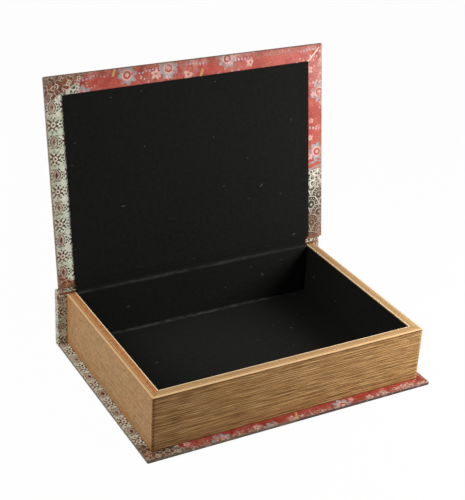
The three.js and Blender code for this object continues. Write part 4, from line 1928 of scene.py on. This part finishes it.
@dataclass
class Tray:
    """The lined tray: three page-edge walls, a thin wall, a panel and the cloth.

    Args:
        hinge: the lid's hinge.
        panel_gap: the gap over the panel in its rebate.
    """

    hinge: Hinge
    panel_gap: float = 0.25 * MM

    def build(self) -> list[Piece]:
        """Builds and dresses the tray.

        Returns:
            Its pieces.
        """
        fore, head, tail = (Extent.of(f"{side.value}_wall") for side in Side)
        base = np.array([tail.low[0], fore.low[1], fore.low[2]])
        top = np.array([head.high[0], head.high[1], fore.high[2]])
        step = float(Extent.of("tray_base_panel").high[2] - base[2]) + self.panel_gap
        pages = PageEdges(float(top[2] - base[2]) - PageWall.arris).build()
        linings = Linings(self.hinge, BlackCloth().build())
        made = [PageWall(side, base, top, float(tail.size[0]), step).build(pages) for side in Side]
        wood = PlainBoard("thin_wall_wood", tone(176, 134, 88), tone(150, 108, 66)).build()
        under = PlainBoard("base_panel_board", tone(150, 116, 82), tone(118, 86, 56)).build()
        made.append(dress(frame["nodes"]["spine_side_wall"], wood))
        made.append(dress(frame["nodes"]["tray_base_panel"], under))
        made += [linings.wall(side) for side in Side]
        return [*made, linings.floor(), linings.back_and_joint(), linings.lid_panel()]


@dataclass
class Boards:
    """The grey boards inside the case."""

    nodes: tuple[str, ...] = ("back_cover_board", "spine_board", "front_cover_board")

    def build(self) -> list[Piece]:
        """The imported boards, dressed."""
        finish = PlainBoard("greyboard", tone(158, 154, 144), tone(134, 128, 116)).build()
        return [dress(frame["nodes"][node], finish) for node in self.nodes]


# The studio


@dataclass(frozen=True)
class Softbox:
    """A soft square lamp.

    Args:
        name: the lamp's name.
        place: where it hangs.
        aim: what it looks at.
        side: length of its side.
        power: in watts.
    """

    name: str
    place: Place
    aim: Place
    side: float
    power: float

    def build(self) -> None:
        """Hangs the lamp."""
        lamp = bpy.data.lights.new(self.name, "AREA")
        lamp.shape, lamp.size, lamp.energy = "SQUARE", self.side, self.power
        hung = bpy.data.objects.new(self.name, lamp)
        hung.location = self.place
        way = Vector(self.aim) - Vector(self.place)
        hung.rotation_euler = way.to_track_quat("-Z", "Y").to_euler()
        bpy.context.scene.collection.objects.link(hung)


class Sky(Shade):
    """A world's node tree, which takes nodes as a material's does."""

    def __init__(self, name: str) -> None:
        """Starts a world with its output, and makes it the scene's.

        Args:
            name: the world's name.
        """
        world = bpy.data.worlds.new(name)
        bpy.context.scene.world = world
        world.use_nodes = True
        self.tree = world.node_tree
        self.tree.nodes.clear()
        self.end = self.tree.nodes.new("ShaderNodeOutputWorld")


@dataclass(frozen=True)
class Studio:
    """A pale floor, soft lamps and the camera at the photograph's angle.

    Args:
        target: what the camera looks at.
        distance: from the target to the camera.
        azimuth: of the camera, in degrees.
        elevation: of the camera, in degrees.
        roll: of the camera, in degrees.
        lens: its focal length, in millimetres.
        floor_size: side of the floor.
        floor_glow: share of the floor that is seen as white.
        floor_tone: how much light it throws back.
        sky_strength: light of the world on the object.
        lamps: its lamps.
    """

    target: Place = (-3.365 * MM, 17.281 * MM, 101.518 * MM)
    distance: float = 1.0
    azimuth: float = -29.896
    elevation: float = 27.162
    roll: float = 3.15
    lens: float = 87.48
    floor_size: float = 30.0
    floor_glow: float = 0.98
    floor_tone: float = 0.55
    sky_strength: float = 0.12
    lamps: tuple[Softbox, ...] = (
        Softbox("left_lamp", (-0.85, 0.12, 0.6), (0.0, 0.0, 0.06), 0.6, 7.6),
        Softbox("right_lamp", (0.39, -0.26, 0.26), (0.06, -0.05, 0.03), 0.24, 3.2),
    )

    def camera(self) -> None:
        """Sets the camera from its angles: it looks back along the line from the target to its place."""
        a, e, r = (math.radians(value) for value in (self.azimuth, self.elevation, self.roll))
        back = Vector((math.sin(a) * math.cos(e), -math.cos(a) * math.cos(e), math.sin(e)))
        level = Vector((math.cos(a), math.sin(a), 0.0))
        upright = back.cross(level)
        right = level * math.cos(r) + upright * math.sin(r)
        up = upright * math.cos(r) - level * math.sin(r)
        data = bpy.data.cameras.new("camera")
        data.sensor_width, data.lens = 36.0, self.lens
        data.clip_start, data.clip_end = 0.05, 60.0
        camera = bpy.data.objects.new("camera", data)
        turn = Matrix((right, up, back)).transposed().to_4x4()
        camera.matrix_world = Matrix.Translation(Vector(self.target) + back * self.distance) @ turn
        bpy.context.scene.collection.objects.link(camera)
        bpy.context.scene.camera = camera

    def floor(self) -> None:
        """A wide pale floor at Z = 0 that reads as white and keeps a shadow."""
        half = self.floor_size / 2
        mesh = bpy.data.meshes.new("floor")
        corners = [(-half, -half, 0), (half, -half, 0), (half, half, 0), (-half, half, 0)]
        mesh.from_pydata(corners, [], [(0, 1, 2, 3)])
        floor = bpy.data.objects.new("floor", mesh)
        bpy.context.scene.collection.objects.link(floor)
        shade, grey = Shade("floor"), (self.floor_tone, self.floor_tone, self.floor_tone, 1.0)
        matt = {"Base Color": grey, "Roughness": 0.9, "Specular IOR Level": 0.1}
        mesh.materials.append(shade.finish(matt))
        rays = shade.node("ShaderNodeLightPath", {}, {}, "Is Camera Ray")
        seen = rays.most(rays.output("Is Glossy Ray")).most(rays.output("Is Transmission Ray"))
        glow = shade.node("ShaderNodeEmission", {}, {"Color": WHITE, "Strength": 1.0})
        both = {0: seen * self.floor_glow, 1: Wire(shade, shade.shader.outputs[0]), 2: glow}
        shade.fill(shade.end, {0: shade.node("ShaderNodeMixShader", {}, both)})

    def sky(self) -> None:
        """A world that lights the object softly and is seen as white."""
        sky = Sky("studio")
        both = {0: sky.node("ShaderNodeLightPath", {}, {}, "Is Camera Ray")}
        for socket, strength in ((1, self.sky_strength), (2, 1.0)):
            both[socket] = sky.node("ShaderNodeBackground", {}, {"Color": WHITE, "Strength": strength})
        sky.fill(sky.end, {0: sky.node("ShaderNodeMixShader", {}, both)})

    def build(self) -> None:
        """Camera, floor, world and lamps."""
        bpy.context.scene.view_settings.view_transform = "Standard"
        self.camera()
        self.floor()
        self.sky()
        for lamp in self.lamps:
            lamp.build()


def main() -> None:
    """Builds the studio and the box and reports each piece."""
    logging.basicConfig(level=logging.INFO, format="%(message)s")
    Studio().build()
    hinge = Hinge.packed()
    for piece in [PrintedCase(hinge).build(), *Boards().build(), *Tray(hinge).build()]:
        log.info("%s: %d faces", piece.name, len(piece.data.polygons))


if __name__ == "__main__":
    main()
